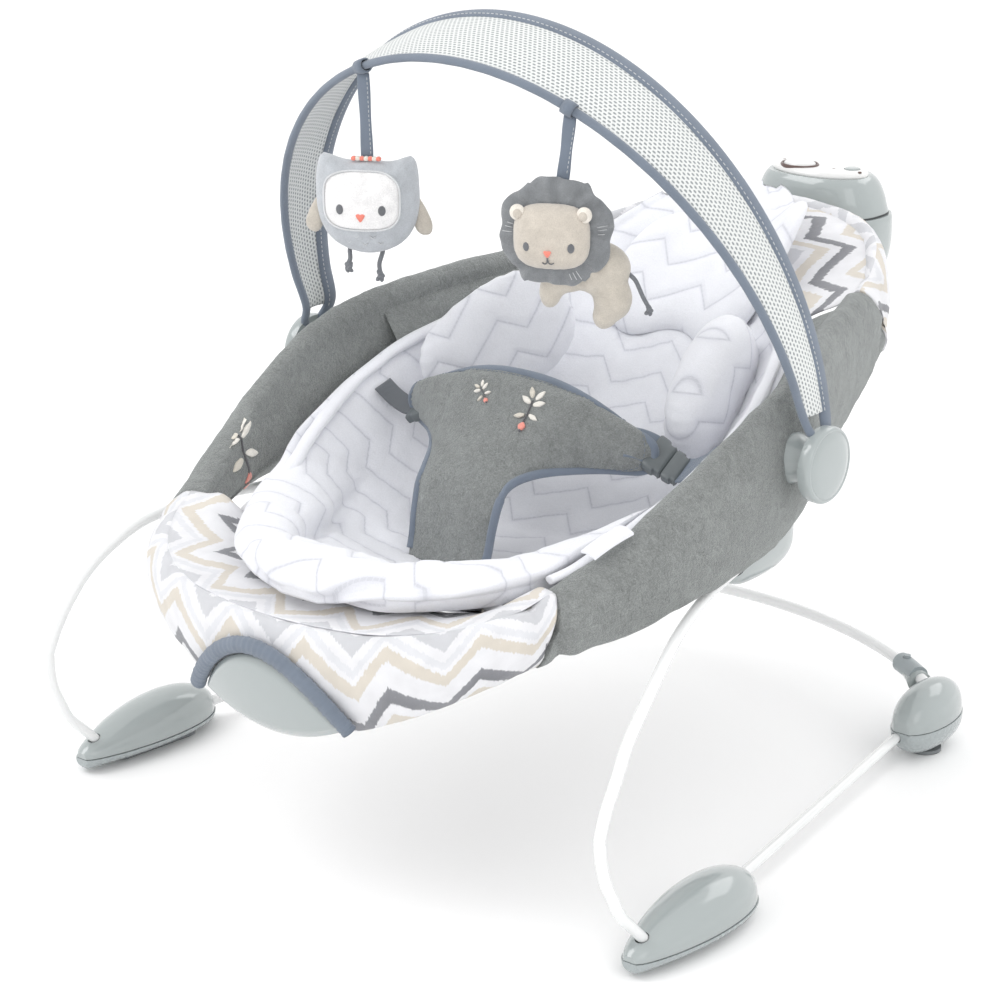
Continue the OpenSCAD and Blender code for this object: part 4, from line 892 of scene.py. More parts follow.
# ---------------------------------------------------------------- pods, housings and control unit in smooth shells
def halfring(cx, y, w, z, h, n=40, flat=.5):
    P = [[cx - w * math.cos(math.pi * i / n), y, z + h * math.sin(math.pi * i / n) ** .8] for i in range(n + 1)]
    return P + [[cx + w * f, y, z] for f in (.75, .5, 0, -.5, -.75)]
fpod = [[-334,5,4],[-328,9.5,9],[-314,15,15],[-295,20,22],[-270,24,27],[-245,25,28.5],[-224,23,26.5],[-208,18,21.5],[-198,11,15],[-193,5,8]]
rpod = [[74,7,8,8],[80,12.5,18,16],[91,17.5,26,21],[106,20,30,23],[122,19.8,30.5,23],[138,16.5,27,21],[149,11,20,16],[156,5,10,8]]
def hole(o, p, q, r):
    p, q = A(p), A(q)
    c = tube("cut", [p, (p + q) / 2, q], r, None, ref=(.2, .9, .1), k=32)
    m = o.modifiers.new("b", "BOOLEAN"); m.operation = "DIFFERENCE"; m.object = c; m.solver = "EXACT"; apply_mod(o, m); bpy.data.objects.remove(c)
rod_a, rod_b = A([257, -214, 16.6]), A([219, 92, 21])
FP = curve(fpod, 5); RP = curve(rpod, 6)
for s, nm in ((1, "right"), (-1, "left")):
    sx = A([s, 1, 1])
    def tip(P, i): return .35 if i in (0, len(P) - 1) else 1
    up_ = loft("front_foot_upper_" + nm, A([halfring(262, p[0], p[1], 12.3, p[2]) for p in FP]) * sx, M["pod"])
    lo_ = loft("front_foot_lower_" + nm, A([halfring(262, p[0], p[1] + .9, 11.7, -min(p[2] + 2, 11.7 - 3.0)) for p in FP]) * sx, M["pod_low"])
    for o in (up_, lo_):
        hole(o, A([262, -356, 64]) * sx, A([262, -311, 15]) * sx, 4.9)
        hole(o, (rod_a - unit(rod_b - rod_a) * 3) * sx, rod_b * sx, 4.5)
        sharp(o, 45)
    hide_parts("front_pod_upper_" + nm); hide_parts("front_pod_lower_" + nm)
    ur = loft("rear_foot_upper_" + nm, A([halfring(226, p[0], p[1], 26.2, p[2]) for p in RP]) * sx, M["pod"])
    lr_ = loft("rear_foot_lower_" + nm, A([halfring(226, p[0], p[1] + .7, 25.7, -min(p[3], 25.7 - 3.0)) for p in RP]) * sx, M["pod_low"])
    hole(lr_, rod_a * sx, (rod_b + unit(rod_b - rod_a) * 2) * sx, 4.5)
    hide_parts("rear_pod_upper_" + nm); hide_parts("rear_pod_lower_" + nm)
    # the cross tube's way in
    th0, th1 = math.radians(55.5), math.radians(49.3)
    arc = [[347 * math.cos(t), -147 + 347 * math.sin(t), 50] for t in np.linspace(th0, th1, 9)]
    c = tube("cut", mir(arc, s), 5.0, None, ref=(0, 0, 1), k=32)
    m = ur.modifiers.new("b", "BOOLEAN"); m.operation = "DIFFERENCE"; m.object = c; m.solver = "EXACT"; apply_mod(ur, m); bpy.data.objects.remove(c)
    cl = tube("foot_collar_" + nm, mir([[347 * math.cos(t), -147 + 347 * math.sin(t), 50 - 1.5 * k] for k, t in enumerate(np.radians([56.6, 55.4, 54.2, 53.0]))], s), [7.6, 7.9, 8.6, 9.6], M["pod"], ref=(0, 0, 1), k=28)
    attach(cl, "base")
    for o in (ur, lr_): sharp(o, 45)
    for o in (up_, lo_, ur, lr_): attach(o, "base")
    hsec_ = [[-108,176,8,9],[-102,175,12,17],[-88,174,13.5,22],[-62,172,14,24],[-36,170,13.5,23],[-20,168,12,18],[-13,167,8,9]]
    HS = curve(hsec_, 6)
    R = [[[p[1] + p[2] * math.copysign(abs(math.cos(a)) ** .7, math.cos(a)), p[0], 209 + p[3] * math.copysign(abs(math.sin(a)) ** .7, math.sin(a))] for a in [2 * math.pi * j / 48 for j in range(48)]] for p in HS]
    h_ = loft("side_housing_shell_" + nm, A(R) * sx, M["pod"])
    P0 = mir(resample(curve([[173.6, -46, 198.5]] + leg_top[:5], 8), 40), s)
    c = tube("cut", P0, 4.6, None, ref=(1, 0, 0), k=24)
    m = h_.modifiers.new("b", "BOOLEAN"); m.operation = "DIFFERENCE"; m.object = c; m.solver = "EXACT"; apply_mod(h_, m); bpy.data.objects.remove(c); sharp(h_, 50)
    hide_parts("side_housing_" + nm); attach(h_, "seat")

UW = 65.0; UW = UW - 5.0
def uring(w, y0, y1, z, e=.75, n=96):
    return [[w * math.copysign(abs(math.cos(a)) ** e, math.cos(a)), (y0 + y1) / 2 + (y1 - y0) / 2 * math.copysign(abs(math.sin(a)) ** e, math.sin(a)), z] for a in [2 * math.pi * j / n for j in range(n)]]
def uloft(name, P, mat, e=.75, per=4, auto=40):
    C = curve(P, per); return loft(name, [uring(p[0], p[1], p[2], p[3], e) for p in C], mat, auto=auto)
ul = uloft("unit_case_lower", [[UW-13,262,318,322],[UW-3,257,326,327],[UW+1,254,331,345],[UW+1,253,332,366],[UW,253,331,371.6]], M["pod"])
bpy.ops.mesh.primitive_cube_add(size=1, location=(0, .290 + YS * .001, .336)); c = bpy.context.object; c.scale = (.0928, .0448, .056); bpy.context.view_layer.update()
m = ul.modifiers.new("b", "BOOLEAN"); m.operation = "DIFFERENCE"; m.object = c; m.solver = "EXACT"; apply_mod(ul, m); bpy.data.objects.remove(c); sharp(ul, 45)
uu = uloft("unit_case_upper", [[UW-2.5,253,330,372.4],[UW-4,253,329.5,378],[UW-6,253,328,386],[UW-9.5,254.5,325,395],[UW-12.5,256.5,321,400.5],[UW-15.5,258.5,317,403.6]], M["pod"])
# dark ring between the case halves: painted shade in the parting-line gap
uj = uloft("unit_joint_line", [[UW-2,254.5,328.5,371.0],[UW-2,254.5,328.5,373.0]], M["dark_gap"])
cp = uloft("unit_top_panel", [[43.5,262,313,403.4],[44,261.5,313.5,404.6],[43.8,262,313,406.2],[42.6,263,312,407.6],[40.5,265,310,408.5],[37,268.5,306.5,408.9]], M["panel"], e=1)
for o in (uu, cp):
    bpy.ops.mesh.primitive_cylinder_add(vertices=64, radius=.0122, depth=.04, location=(-.015, .279 + YS * .001, .402)); c = bpy.context.object; c.scale = (14.6 / 12.2, 1, 1); bpy.context.view_layer.update()
    m = o.modifiers.new("b", "BOOLEAN"); m.operation = "DIFFERENCE"; m.object = c; m.solver = "EXACT"; apply_mod(o, m); bpy.data.objects.remove(c)
    bpy.ops.mesh.primitive_cylinder_add(vertices=48, radius=.0069, depth=.04, location=(.030, .289 + YS * .001, .402)); c = bpy.context.object; bpy.context.view_layer.update()
    m = o.modifiers.new("b", "BOOLEAN"); m.operation = "DIFFERENCE"; m.object = c; m.solver = "EXACT"; apply_mod(o, m); bpy.data.objects.remove(c)
    sharp(o, 40)
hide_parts("unit_lower_shell"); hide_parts("unit_upper_shell"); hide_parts("control_panel")
def disc(name, cx, cy, rx, ry, prof, mat, n=64):
    return loft(name, [[[cx + rx * k * math.cos(a), cy + ry * k * math.sin(a), z] for a in [2 * math.pi * j / n for j in range(n)]] for k, z in prof], mat, auto=40)
ring = disc("button_surround", -15, 279, 16.2, 13.6, [(.905, 405.0), (.905, 409.2), (.94, 410.0), (1.0, 410.0), (1.045, 409.0), (1.05, 407.0)], M["brown"])
mb = disc("main_button_cap", -15, 279, 14, 11.6, [(.97, 398), (1, 400), (1, 409.2), (.97, 410.4), (.88, 411.2), (.70, 410.6), (.4, 410.2)], M["panel"])
gb = disc("mode_button_cap", 30, 289, 6.5, 6.5, [(.97, 398), (1, 400), (1, 408.6), (.94, 409.6), (.8, 410.0), (.4, 410.1)], M["pod"])
dots = [disc("panel_mark_%d" % i, x, y, 1.6, 1.6, [(1, 407.8), (1, 408.7), (.8, 408.95)], M["brown"], 20) for i, (x, y) in enumerate(((17, 281), (41, 283), (-36, 288)))]
dots = join(dots, "panel_marks")
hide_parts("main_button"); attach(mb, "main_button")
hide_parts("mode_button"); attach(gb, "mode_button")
for o, sl0 in ((ul, "pod_plastic"), (uu, "pod_plastic"), (uj, "socket_plastic"), (cp, "panel_white"), (ring, "buckle_plastic"), (dots, "buckle_plastic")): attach(o, "seat")

# ---------------------------------------------------------------- folded white edge of the insert along both sides
for s, nm in ((1, "right"), (-1, "left")):
    base = []
    for y in np.linspace(-286, 78, 60):
        p = pad_point(y, s * 1.0); base.append(p + A([padx(y) + s * 1.5, 0, -1.0]))
    base = curve(resample(base, 20), 8)
    rr = [3.6 + .7 * nz(p, 24, 3) for p in base]
    e1_ = tube("insert_edge_" + nm, base, rr, M["white_cloth"], ref=(s * 1.0, 0, .2), k=16, ell=(1.0, 1.5))
    b2 = base + A([s * 5.5, 0, -5.5]) + A([[s * 1.2 * nz(p, 30, 9), 0, 1.5 * nz(p, 22, 6)] for p in base])
    e2_ = tube("insert_edge_fold_" + nm, b2, [3.1] * len(b2), M["white_cloth"], ref=(s * 1.0, 0, .2), k=16, ell=(1.0, 1.7))
    for o in (e1_, e2_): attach(o, "seat")

# ---------------------------------------------------------------- toy bar
AW, AF, AB_, TF, TB = 232, 257, 264.5, math.radians(24.4), math.radians(14.6)
def bow(h, y, t, e, n=14):
    pts = [[-240.5, e[0], e[1]], [-237, e[0] * .45 + y * .55, 316]]
    for i in range(-n, n + 1):
        a = math.radians(90 * i / n); pts.append([AW * math.sin(a), y - h * math.cos(a) * math.sin(t), 330 + h * math.cos(a) * math.cos(t)])
    return pts + [[237, e[0] * .45 + y * .55, 316], [240.5, e[0], e[1]]]
FBc, RBc = bow(AF, -98, TF, (-90, 311)), bow(AB_, -67, TB, (-79, 311))
FB, RB = curve(FBc, 8), curve(RBc, 8)
acr = unit
D_ = RB - FB; D_ /= np.linalg.norm(D_, axis=1)[:, None]
TN = np.cross(tangents(FB), D_); TN /= np.linalg.norm(TN, axis=1)[:, None]
def mesh_mat():
    s = Mat("mesh_fabric", (226, 228, 227), .7, sheen=.2, spec=.3)
    sep = s.n("ShaderNodeSeparateXYZ"); s.link(s.tc.outputs["UV"], sep.inputs[0]); U, V = sep.outputs[0], sep.outputs[1]
    PU, PV = .0040, .0029
    row = s.math("FLOOR", s.math("DIVIDE", V, PV)); odd = s.math("MULTIPLY", s.math("MODULO", row, 2.0), .5)
    fu = s.math("SUBTRACT", s.math("FRACT", s.math("ADD", s.math("DIVIDE", U, PU), odd)), .5); fv = s.math("SUBTRACT", s.math("FRACT", s.math("DIVIDE", V, PV)), .5)
    d = s.math("SQRT", s.math("ADD", s.math("POWER", s.math("DIVIDE", fu, .34), 2.0), s.math("POWER", s.math("DIVIDE", fv, .27), 2.0)))
    hole_ = s.math("SUBTRACT", 1.0, s.math("MULTIPLY", s.math("SUBTRACT", d, .7), 2.2, clamp=True), clamp=True)
    # the openings are painted grey as painted shade seen through the holes of the net, over the fabric's own varied
    # white
    c = s.mix(hole_, s.vary(s.noise(900, 2), .94, 1.04), (*lin((150, 156, 158)), 1)); s.color(c)
    k = 2 * math.pi / .001
    s.bump(s.math("SUBTRACT", 1.0, hole_), .0007, .9); s.bump(s.math("SINE", s.math("MULTIPLY", s.math("ADD", U, V), k)), .0001, .5)
    return s.m
M["mesh"] = mesh_mat()
i0, i1 = 14, len(FB) - 14
nb = 15; rowsB = []
for i in range(i0, i1):
    p, q_ = FB[i] + D_[i] * 1.5, RB[i] - D_[i] * 3.0
    rowsB.append([p + (q_ - p) * t + TN[i] * (2.2 * math.sin(math.pi * t)) for t in np.linspace(0, 1, nb)])
rowsB = A(rowsB); uB = np.repeat(np.concatenate([[0], np.cumsum(np.linalg.norm(np.diff(rowsB[:, nb // 2], axis=0), axis=1))])[:, None], nb, 1)
wB = np.linalg.norm(rowsB[:, -1] - rowsB[:, 0], axis=1)
vB = (np.linspace(0, 1, nb)[None] - .5) * wB[:, None] + 100
band = shell_from(rowsB + TN[i0:i1, None] * .6, rowsB - TN[i0:i1, None] * .6, np.stack([uB * .001, vB * .001], 2).reshape(-1, 2).tolist(), "toy_bar_mesh", M["mesh"], bulge=.2, steps=2)
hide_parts("mesh_band"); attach(band, "toy_bar")
fb = tube("toy_bar_front_binding", FB[2:-2], [3.1 * (1 + .02 * math.sin(i * .9)) for i in range(len(FB) - 4)], M["slate"], ref=TN[2:-2], k=20, ell=(1.12, .92))
wid = np.clip((np.linalg.norm(RB - FB, axis=1) - 14) / 16, 0, 1)
rbP = RB - D_ * (2.6 * wid)[:, None]
R_ = []
for i in range(2, len(RB) - 2):
    t = tangents(RB)[i]; n = TN[i]; b = unit(np.cross(t, n)); ra = 3.3 + 2.7 * wid[i]; rb_ = 3.2
    R_.append([rbP[i] + b * ra * math.cos(a) + n * rb_ * math.copysign(abs(math.sin(a)) ** .9, math.sin(a)) for a in [2 * math.pi * j / 24 for j in range(24)]])
rbo = loft("toy_bar_rear_binding", R_, M["slate"])
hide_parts("front_bow"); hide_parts("rear_bow")
st1 = stitches("toy_bar_stitch_rear_out", rbP[i0:i1] - D_[i0:i1] * 3.4 + TN[i0:i1] * 2.8, M["thread"], length=2.4, gap=1.6, r=.3)
st2 = stitches("toy_bar_stitch_rear_in", rbP[i0:i1] - D_[i0:i1] * 3.4 - TN[i0:i1] * 2.8, M["thread"], length=2.4, gap=1.6, r=.3)
st3 = stitches("toy_bar_stitch_front_out", FB[i0:i1] + D_[i0:i1] * 2.0 + TN[i0:i1] * 2.4, M["thread"], length=2.4, gap=1.6, r=.26)
st4 = stitches("toy_bar_stitch_front_in", FB[i0:i1] + D_[i0:i1] * 2.0 - TN[i0:i1] * 2.4, M["thread"], length=2.4, gap=1.6, r=.26)
for o in (fb, rbo, st1, st2, st3, st4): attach(o, "toy_bar")

# hub faces: a shallow dished cap and a rim line on each disc
for s, nm in ((1, "right"), (-1, "left")):
    pr = [(27.4, -5.6), (27.9, -3), (27.9, 3.0), (27.4, 5.0), (26.2, 6.6), (25.0, 6.8), (24.4, 6.4), (23.8, 6.9), (18, 8.2), (9, 8.8), (3, 8.9)]
    R = [[[s * (242 + x * .8), -82 + r * math.cos(a), 290 + r * 1.0 * math.sin(a)] for a in [2 * math.pi * j / 96 for j in range(96)]] for r, x in pr]
    o = loft("toy_bar_disc_" + nm, R, M["pod"], auto=40)
    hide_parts("toy_bar_hub_" + nm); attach(o, "toy_bar")
    R = [[[s * x, -82 + r * math.cos(a), 290 + r * math.sin(a)] for a in [2 * math.pi * j / 48 for j in range(48)]] for r, x in ((18.5, 216.5), (18.8, 219), (16, 224), (13, 230), (12.6, 236.6))]
    o = loft("toy_bar_mount_neck_" + nm, R, M["pod"], auto=40)
    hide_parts("toy_bar_mount_" + nm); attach(o, "seat")

# ---------------------------------------------------------------- soft toys
def fleece(name, rgb, scale=1.0, dark=.9):
    s = Mat(name, rgb, .9, sheen=.5, sheenr=.5, tint=(245, 245, 245), spec=.12)
    fine = s.noise(1300 * scale, 3, .7); c = s.vary(s.noise(120, 3, .6), dark, 1.05); c = s.vary(fine, .86, 1.08, c); s.color(c)
    s.bump(s.noise(260, 4, .7), .0007, .7); s.bump(fine, .0005, .8)
    return s.m
M["owl"] = fleece("owl_fleece", (188, 192, 197)); M["owl_face"] = fleece("owl_face_fleece", (240, 239, 239)); M["beige"] = fleece("beige_velour", (198, 191, 180))
M["lion_head"] = fleece("lion_head_velour", (202, 194, 183)); M["mane"] = fleece("mane_velour", (134, 137, 140), dark=.84); M["cream"] = fleece("cream_velour", (232, 226, 216))
M["coral"] = fleece("coral_embroidery", (238, 140, 124)); M["eye"] = weave("eye_embroidery", (112, 114, 118), pitch=.0007, uv=False, depth=.0002)
M["rope"] = weave("grey_cord", (118, 121, 126), pitch=.0012, uv=False)
def outline_radius(P):
    P = A(P); C = resample(curve(P, 8, closed=True), 360, closed=True); a = np.arctan2(C[:, 1], C[:, 0]); r = np.hypot(C[:, 0], C[:, 1]); o = np.argsort(a); a, r = a[o], r[o]
    a = np.concatenate([a - 2 * np.pi, a, a + 2 * np.pi]); r = np.concatenate([r, r, r]); return lambda t: np.interp(t, a, r)
def stuffed(name, rad, T1, T2, mat, W, nr=24, na=96, ex=2.5, seed=0.0, pucker=.5, ruf=None):
    "cushion with outline rad(angle) in the x-z plane, T1 forward and T2 back; W maps local points to the drawing"
    V = []; F = []
    rs = [math.sin(math.pi / 2 * (k + 1) / nr) for k in range(nr)]
    def pt(r, a, side):
        R = float(rad(a)) * r; x, z = R * math.cos(a), R * math.sin(a); t = (T1 if side < 0 else T2) * math.sqrt(max(0, 1 - r ** ex))
        y = side * t + side * .8 * nz((x, side * 9, z), 14, seed) * min(1, (1 - r) * 4)
        y += side * -pucker * math.exp(-((1 - r) / .1) ** 2) * (.5 + .5 * math.sin(a * 23))
        if ruf: y += ruf(r, a)
        return [x, y, z]
    for side in (-1, 1):
        st = len(V); V.append(pt(0, 0, side))
        for r in rs if side < 0 else rs[:-1]:
            for k in range(na): V.append(pt(r, 2 * math.pi * k / na - math.pi, side))
        cnt = nr if side < 0 else nr - 1
        ix = lambda i, k: st + 1 + i * na + k % na
        for k in range(na): F.append((st, ix(0, k), ix(0, k + 1)))
        for i in range(cnt - 1):
            for k in range(na): F.append((ix(i, k), ix(i + 1, k), ix(i + 1, k + 1), ix(i, k + 1)))
        if side < 0: rim = [ix(nr - 1, k) for k in range(na)]
        else:
            for k in range(na): F.append((ix(cnt - 1, k), rim[k], rim[(k + 1) % na], ix(cnt - 1, k + 1)))
    return make(name, W(V), F, mat)
def frontfn(rad, T1, ex=2.5):
    def f(x, z):
        a = math.atan2(z, x); r = math.hypot(x, z) / max(1e-6, float(rad(a))); return -T1 * math.sqrt(max(0.0, 1 - min(1, r) ** ex))
    return f
def decal(name, cx, cz, rad, f, lift, mat, W, c0=(0, 0), nr=7, na=40, dome=.6):
    "raised patch following the front surface f, relative to the cushion's centre c0"
    V = []; F = []
    for r in [0] + [math.sin(math.pi / 2 * (k + 1) / nr) for k in range(nr)]:
        for k in range(na if r else 1):
            a = 2 * math.pi * k / na - math.pi; R = float(rad(a)) * r; x, z = cx + R * math.cos(a), cz + R * math.sin(a)
            V.append([x, f(x - c0[0], z - c0[1]) - lift * (1 if r < .97 else .2) - dome * math.sqrt(max(0, 1 - r ** 2.2)), z])
    ix = lambda i, k: 1 + i * na + k % na
    for k in range(na): F.append((0, ix(0, k), ix(0, k + 1)))
    for i in range(nr - 1):
        for k in range(na): F.append((ix(i, k), ix(i + 1, k), ix(i + 1, k + 1), ix(i, k + 1)))
    n0 = len(V)
    for v in V[1 + (nr - 1) * na:1 + nr * na]: V.append([v[0], v[1] + 1.6, v[2]])
    for k in range(na): F.append((ix(nr - 1, k), n0 + k, n0 + (k + 1) % na, ix(nr - 1, k + 1)))
    F.append([n0 + k for k in range(na)])
    return make(name, W(V), F, mat)
sup = lambda a_, b_, ex: (lambda t: (abs(math.cos(t) / a_) ** ex + abs(math.sin(t) / b_) ** ex) ** (-1 / ex))
def toy_strap(name, L, W, x0=0.0, body=None, top=.6):
    R = []
    for t in np.linspace(0, 1, 14):
        z = top - (L + 2 + top) * t; w = 4.2 + .25 * math.sin(t * 9); y = .8 * math.sin(t * math.pi); x = x0 * t
        R.append([[x + w * c, y + .9 * d, z] for c, d in ((-1, -1), (-1, 1), (-.8, 1.3), (0, 1), (.8, 1.3), (1, 1), (1, -1), (.8, -1.3), (0, -1), (-.8, -1.3))])
    n, m = A(R).shape[:2]; V = A(R).reshape(-1, 3); o = loft(name, W(V).reshape(n, m, 3), M["slate"])
    s1 = stitches(name + "_stitching", W([[x0 * t + 2.9, -1.5, -2 - (L - 4) * t] for t in np.linspace(0, 1, 12)]), M["thread"], length=2.0, gap=1.3, r=.22)
    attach(o, body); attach(s1, body)
    return o
def knot(name, c, r, mat, W, seed=0):
    L = []
    for k, (dx, dy, dz, a, b, c_, ang) in enumerate(((0, 0, 0, 1.25, 1.1, .8, 20), (.35, -.3, -.7, 1.1, 1.0, .75, -30), (-.4, .1, -1.5, .7, .7, 1.1, 15), (.5, 0, -1.7, .6, .6, .9, -25))):
        E = ellipsoid(name + str(k), (0, 0, 0), (a * r, b * r, c_ * r), mat, 12, 18, rot=roty(ang + seed))
        V = np.array([v.co for v in E.data.vertices]) * 1000 - [0, YS, 0] + A(c) + A([dx, dy, dz]) * r
        V = (W(V) + [0, YS, 0]) * .001
        E.data.vertices.foreach_set("co", V.ravel()); L.append(E)
    return join(L, name)

# owl
owl_p = A([-79, -197.8, 544.4]); RO = rotz(30); oc = A([2.0, 0, -93.0])
WO = lambda V: (A(V) @ RO.T) + owl_p
WOc = lambda V: ((A(V) + oc) @ RO.T) + owl_p
owl_out = [(-31,36.5),(-35,33),(-37.5,21),(-37.5,1.5),(-34.5,-13.5),(-27,-25.5),(-15,-33),(0,-36),(15,-33),(27,-25.5),(34.5,-13.5),(37.5,1.5),(37,21),(35,32),(30,36),(24,33),(14,31.3),(0,32.5),(-14,31.8),(-24,34)]
orad = outline_radius(owl_out); OB = []
body = stuffed("owl_body", orad, 17, 15, M["owl"], WOc, seed=1.3); inflate(body, 1.5, frames=8)
of_ = frontfn(orad, 17)
OB.append(body)
face = decal("owl_face", -2, 5, sup(27.5, 20.8, 3.4), of_, 1.0, M["owl_face"], WOc, nr=14, na=80, dome=.8); OB.append(face)
ff = lambda x, z: of_(x, z) - 1.6
rim_pts_ = [[-2 + 28.0 * 0 + float(sup(27.9, 21.2, 3.4)(a)) * math.cos(a), 0, 5 + float(sup(27.9, 21.2, 3.4)(a)) * math.sin(a)] for a in np.linspace(0, 2 * math.pi, 120, endpoint=False)]
rim_pts_ = [[p[0], of_(p[0], p[2]) - 1.1, p[2]] for p in rim_pts_]
OB.append(tube("owl_face_edge", WOc(rim_pts_), .75, M["thread"], ref=RO @ A([0, 1, .1]), k=8, closed=True))
for s in (-1, 1): OB.append(decal("owl_eye_%d" % (s + 1), -2 + s * 15.4, -1.0, sup(2.7, 3.7, 2), ff, .5, M["eye"], WOc, dome=.5))
OB.append(decal("owl_beak", -2.2, -6.2, outline_radius([(-3.4, 1.4), (-1.6, 2.6), (0, 2.0), (1.6, 2.6), (3.4, 1.4), (1.6, -2.0), (0, -3.6), (-1.6, -2.0)]), ff, .5, M["coral"], WOc, dome=.5))
for i, (x, z) in enumerate(((-12, -26), (0, -27.5), (11, -26.5), (-6, -21.5), (6, -22))):
    OB.append(tube("owl_v_%d" % i, WOc([[x - 2.0, of_(x - 2, z + 1.4) - .3, z + 1.4], [x, of_(x, z - .6) - .4, z - .6], [x + 2.0, of_(x + 2, z + 1.4) - .3, z + 1.4]]), .35, M["thread"], ref=RO @ A([0, 1, .1]), k=6))
for s in (-1, 1):
    w_ = stuffed("owl_wing_%d" % (s + 1), outline_radius([(0, 16), (-3.5, 10), (-6, 0), (-6.5, -8), (-3, -13), (3, -13.5), (6, -8), (5.5, 0), (3, 10)]), 3.5, 3.5, M["beige"],
                 lambda V, s=s: WOc((A(V) @ roty(-s * 14).T) + A([s * 38.5, 3, -9])), nr=10, na=40); OB.append(w_)
for s, L_ in ((-1, 10), (1, 16)):
    x = -2 + s * 11.5; OB.append(tube("owl_leg_%d" % (s + 1), WOc(curve([[x, 0, -31], [x + s * .6, 0, -35], [x - s * .8 - 1.2, 0, -35 - L_ * .55], [x - 1.5, 0, -34 - L_]], 5)), 1.7, M["rope"], ref=RO @ A([0, 1, .1]), k=10))
    OB.append(knot("owl_foot_%d" % (s + 1), (x - 1.6, 0, -35 - L_), 2.6, M["rope"], WOc, seed=30 * s))
for k in range(7):
    x = -9 + 3 * k; OB.append(decal("owl_crest_%d" % k, x, 33.6, sup(2.0, 1.7, 2), lambda a, b: -5.2, .3, M["cream"] if k % 2 else M["coral"], WOc, nr=4, na=20, dome=1.0))
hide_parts("owl_toy")
for o in OB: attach(o, "owl")
toy_strap("owl_strap", 60, WO, 2.0, "owl")

# lion
lion_p = A([100.5, -192.2, 530.1]); RL = rotz(26)
WL = lambda V: (A(V) @ RL.T) + lion_p
mc = A([-8, -8, -73]); WLc = lambda V: ((A(V) + mc) @ RL.T) + lion_p
LB = []
mrad = lambda a: 39.5 * (1 + .035 * math.cos(8 * (a - .3)) + .012 * math.sin(5 * a)) * (1 if abs(math.cos(a)) > .5 else .96)
mane = stuffed("lion_mane", mrad, 4.0, 4.0, M["mane"], WLc, nr=22, na=160, ruf=lambda r, a: r ** 2 * (1.9 * math.sin(13 * a + .6) + 1.1 * math.sin(21 * a)) + 2.5 * r ** 3, pucker=.2)
LB.append(mane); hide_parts("lion_toy")
hrad = sup(26.5, 22.6, 3.0); hc = A([-1.5, -5, -1.5]); WLh = lambda V: ((A(V) + mc + hc) @ RL.T) + lion_p
hd = stuffed("lion_head", hrad, 13, 3, M["lion_head"], WLh, ex=2.8, seed=3.0, pucker=.6); LB.append(hd); inflate(hd, 1.2, frames=8)
hf = frontfn(hrad, 13, 2.8)
for s in (-1, 1):
    LB.append(decal("lion_eye_%d" % (s + 1), s * 15.4, -5.2, sup(2.3, 3.3, 2), hf, .5, M["eye"], WLh, dome=.5))
    ear = ellipsoid("lion_ear_%d" % (s + 1), (0, 0, 0), (5.4, 3.2, 5.6), M["cream"], 16, 24)
    V = np.array([v.co for v in ear.data.vertices]) * 1000 - [0, YS, 0] + A([s * 23, -4.2, 16.5]); ear.data.vertices.foreach_set("co", ((WLh(V) + [0, YS, 0]) * .001).ravel()); LB.append(ear)
    ein = ellipsoid("lion_ear_in_%d" % (s + 1), (0, 0, 0), (3.2, 1.6, 3.4), M["lion_head"], 12, 18)
    V = np.array([v.co for v in ein.data.vertices]) * 1000 - [0, YS, 0] + A([s * 22.6, -6.6, 16]); ein.data.vertices.foreach_set("co", ((WLh(V) + [0, YS, 0]) * .001).ravel()); LB.append(ein)
LB.append(decal("lion_nose", -.6, -9.6, outline_radius([(-2.6, 1.8), (0, 2.2), (2.6, 1.8), (1.6, -1.0), (0, -2.6), (-1.6, -1.0)]), hf, .6, M["coral"], WLh, dome=.7))
mouth = [[-4.2, -16.0], [-3.0, -17.0], [-1.2, -16.2], [-.6, -12.2], [.2, -16.2], [2.0, -17.0], [3.6, -15.8]]
LB.append(tube("lion_mouth", WLh(curve([[x, hf(x, z) - .5, z] for x, z in mouth], 5)), .4, M["eye"], ref=RL @ A([0, 1, .1]), k=6))
i_ = 0
for a0, n_ in ((178, 3), (8, 3), (-62, 3)):
    for k in range(n_):
        a = math.radians(a0 + (k - n_ / 2) * 5); r0, r1 = 29.5, 34 + 2.5 * ((k * 7) % 3) / 2
        LB.append(tube("lion_mane_thread_%d" % i_, WLc([[r * math.cos(a), -4.0 * math.sqrt(max(0, 1 - (r / 39.5) ** 2.5)) - .3 + (r / 39.5) ** 2 * (1.9 * math.sin(13 * a + .6) + 1.1 * math.sin(21 * a)) + 2.5 * (r / 39.5) ** 3, r * math.sin(a)] for r in np.linspace(r0, r1, 5)]), .26, M["thread"], ref=RL @ A([.1, 1, .1]), k=5)); i_ += 1
parts = []
def el(c, r, ang=0): parts.append(ellipsoid("b", c, r, None, 18, 26, rot=roty(ang)))
el((19, 8, -100), (23, 13, 19)); el((-4, 8, -102), (20, 12, 17)); el((-14, 7, -117), (8.4, 8, 13.5), 6); el((29, 8, -120), (14, 11, 17), -8); el((25, 8, -131), (9.5, 8.5, 13), 22); el((10, 8, -97), (20, 13, 14)); el((-10, 7, -110), (9.5, 9, 12))
lb = join(parts, "lion_body"); remesh(lb, 1.7); smooth(lb, 12, .6)
V = np.array([v.co for v in lb.data.vertices]) * 1000 - [0, YS, 0]; lb.data.vertices.foreach_set("co", ((WL(V) + [0, YS, 0]) * .001).ravel()); lb.data.materials.clear(); lb.data.materials.append(M["beige"])
inflate(lb, 1.0, frames=8)
lb.data.polygons.foreach_set("use_smooth", [True] * len(lb.data.polygons)); LB.append(lb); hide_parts("lion_toy")
seamL = [[x, 8 - 0 + 0, z] for x, z in ()]
LB.append(tube("lion_tail", WL(curve([[40, 8, -103], [45, 8, -108], [50, 7, -118], [54, 7, -125]], 6)), 1.6, M["rope"], ref=RL @ A([0, 1, .1]), k=10))
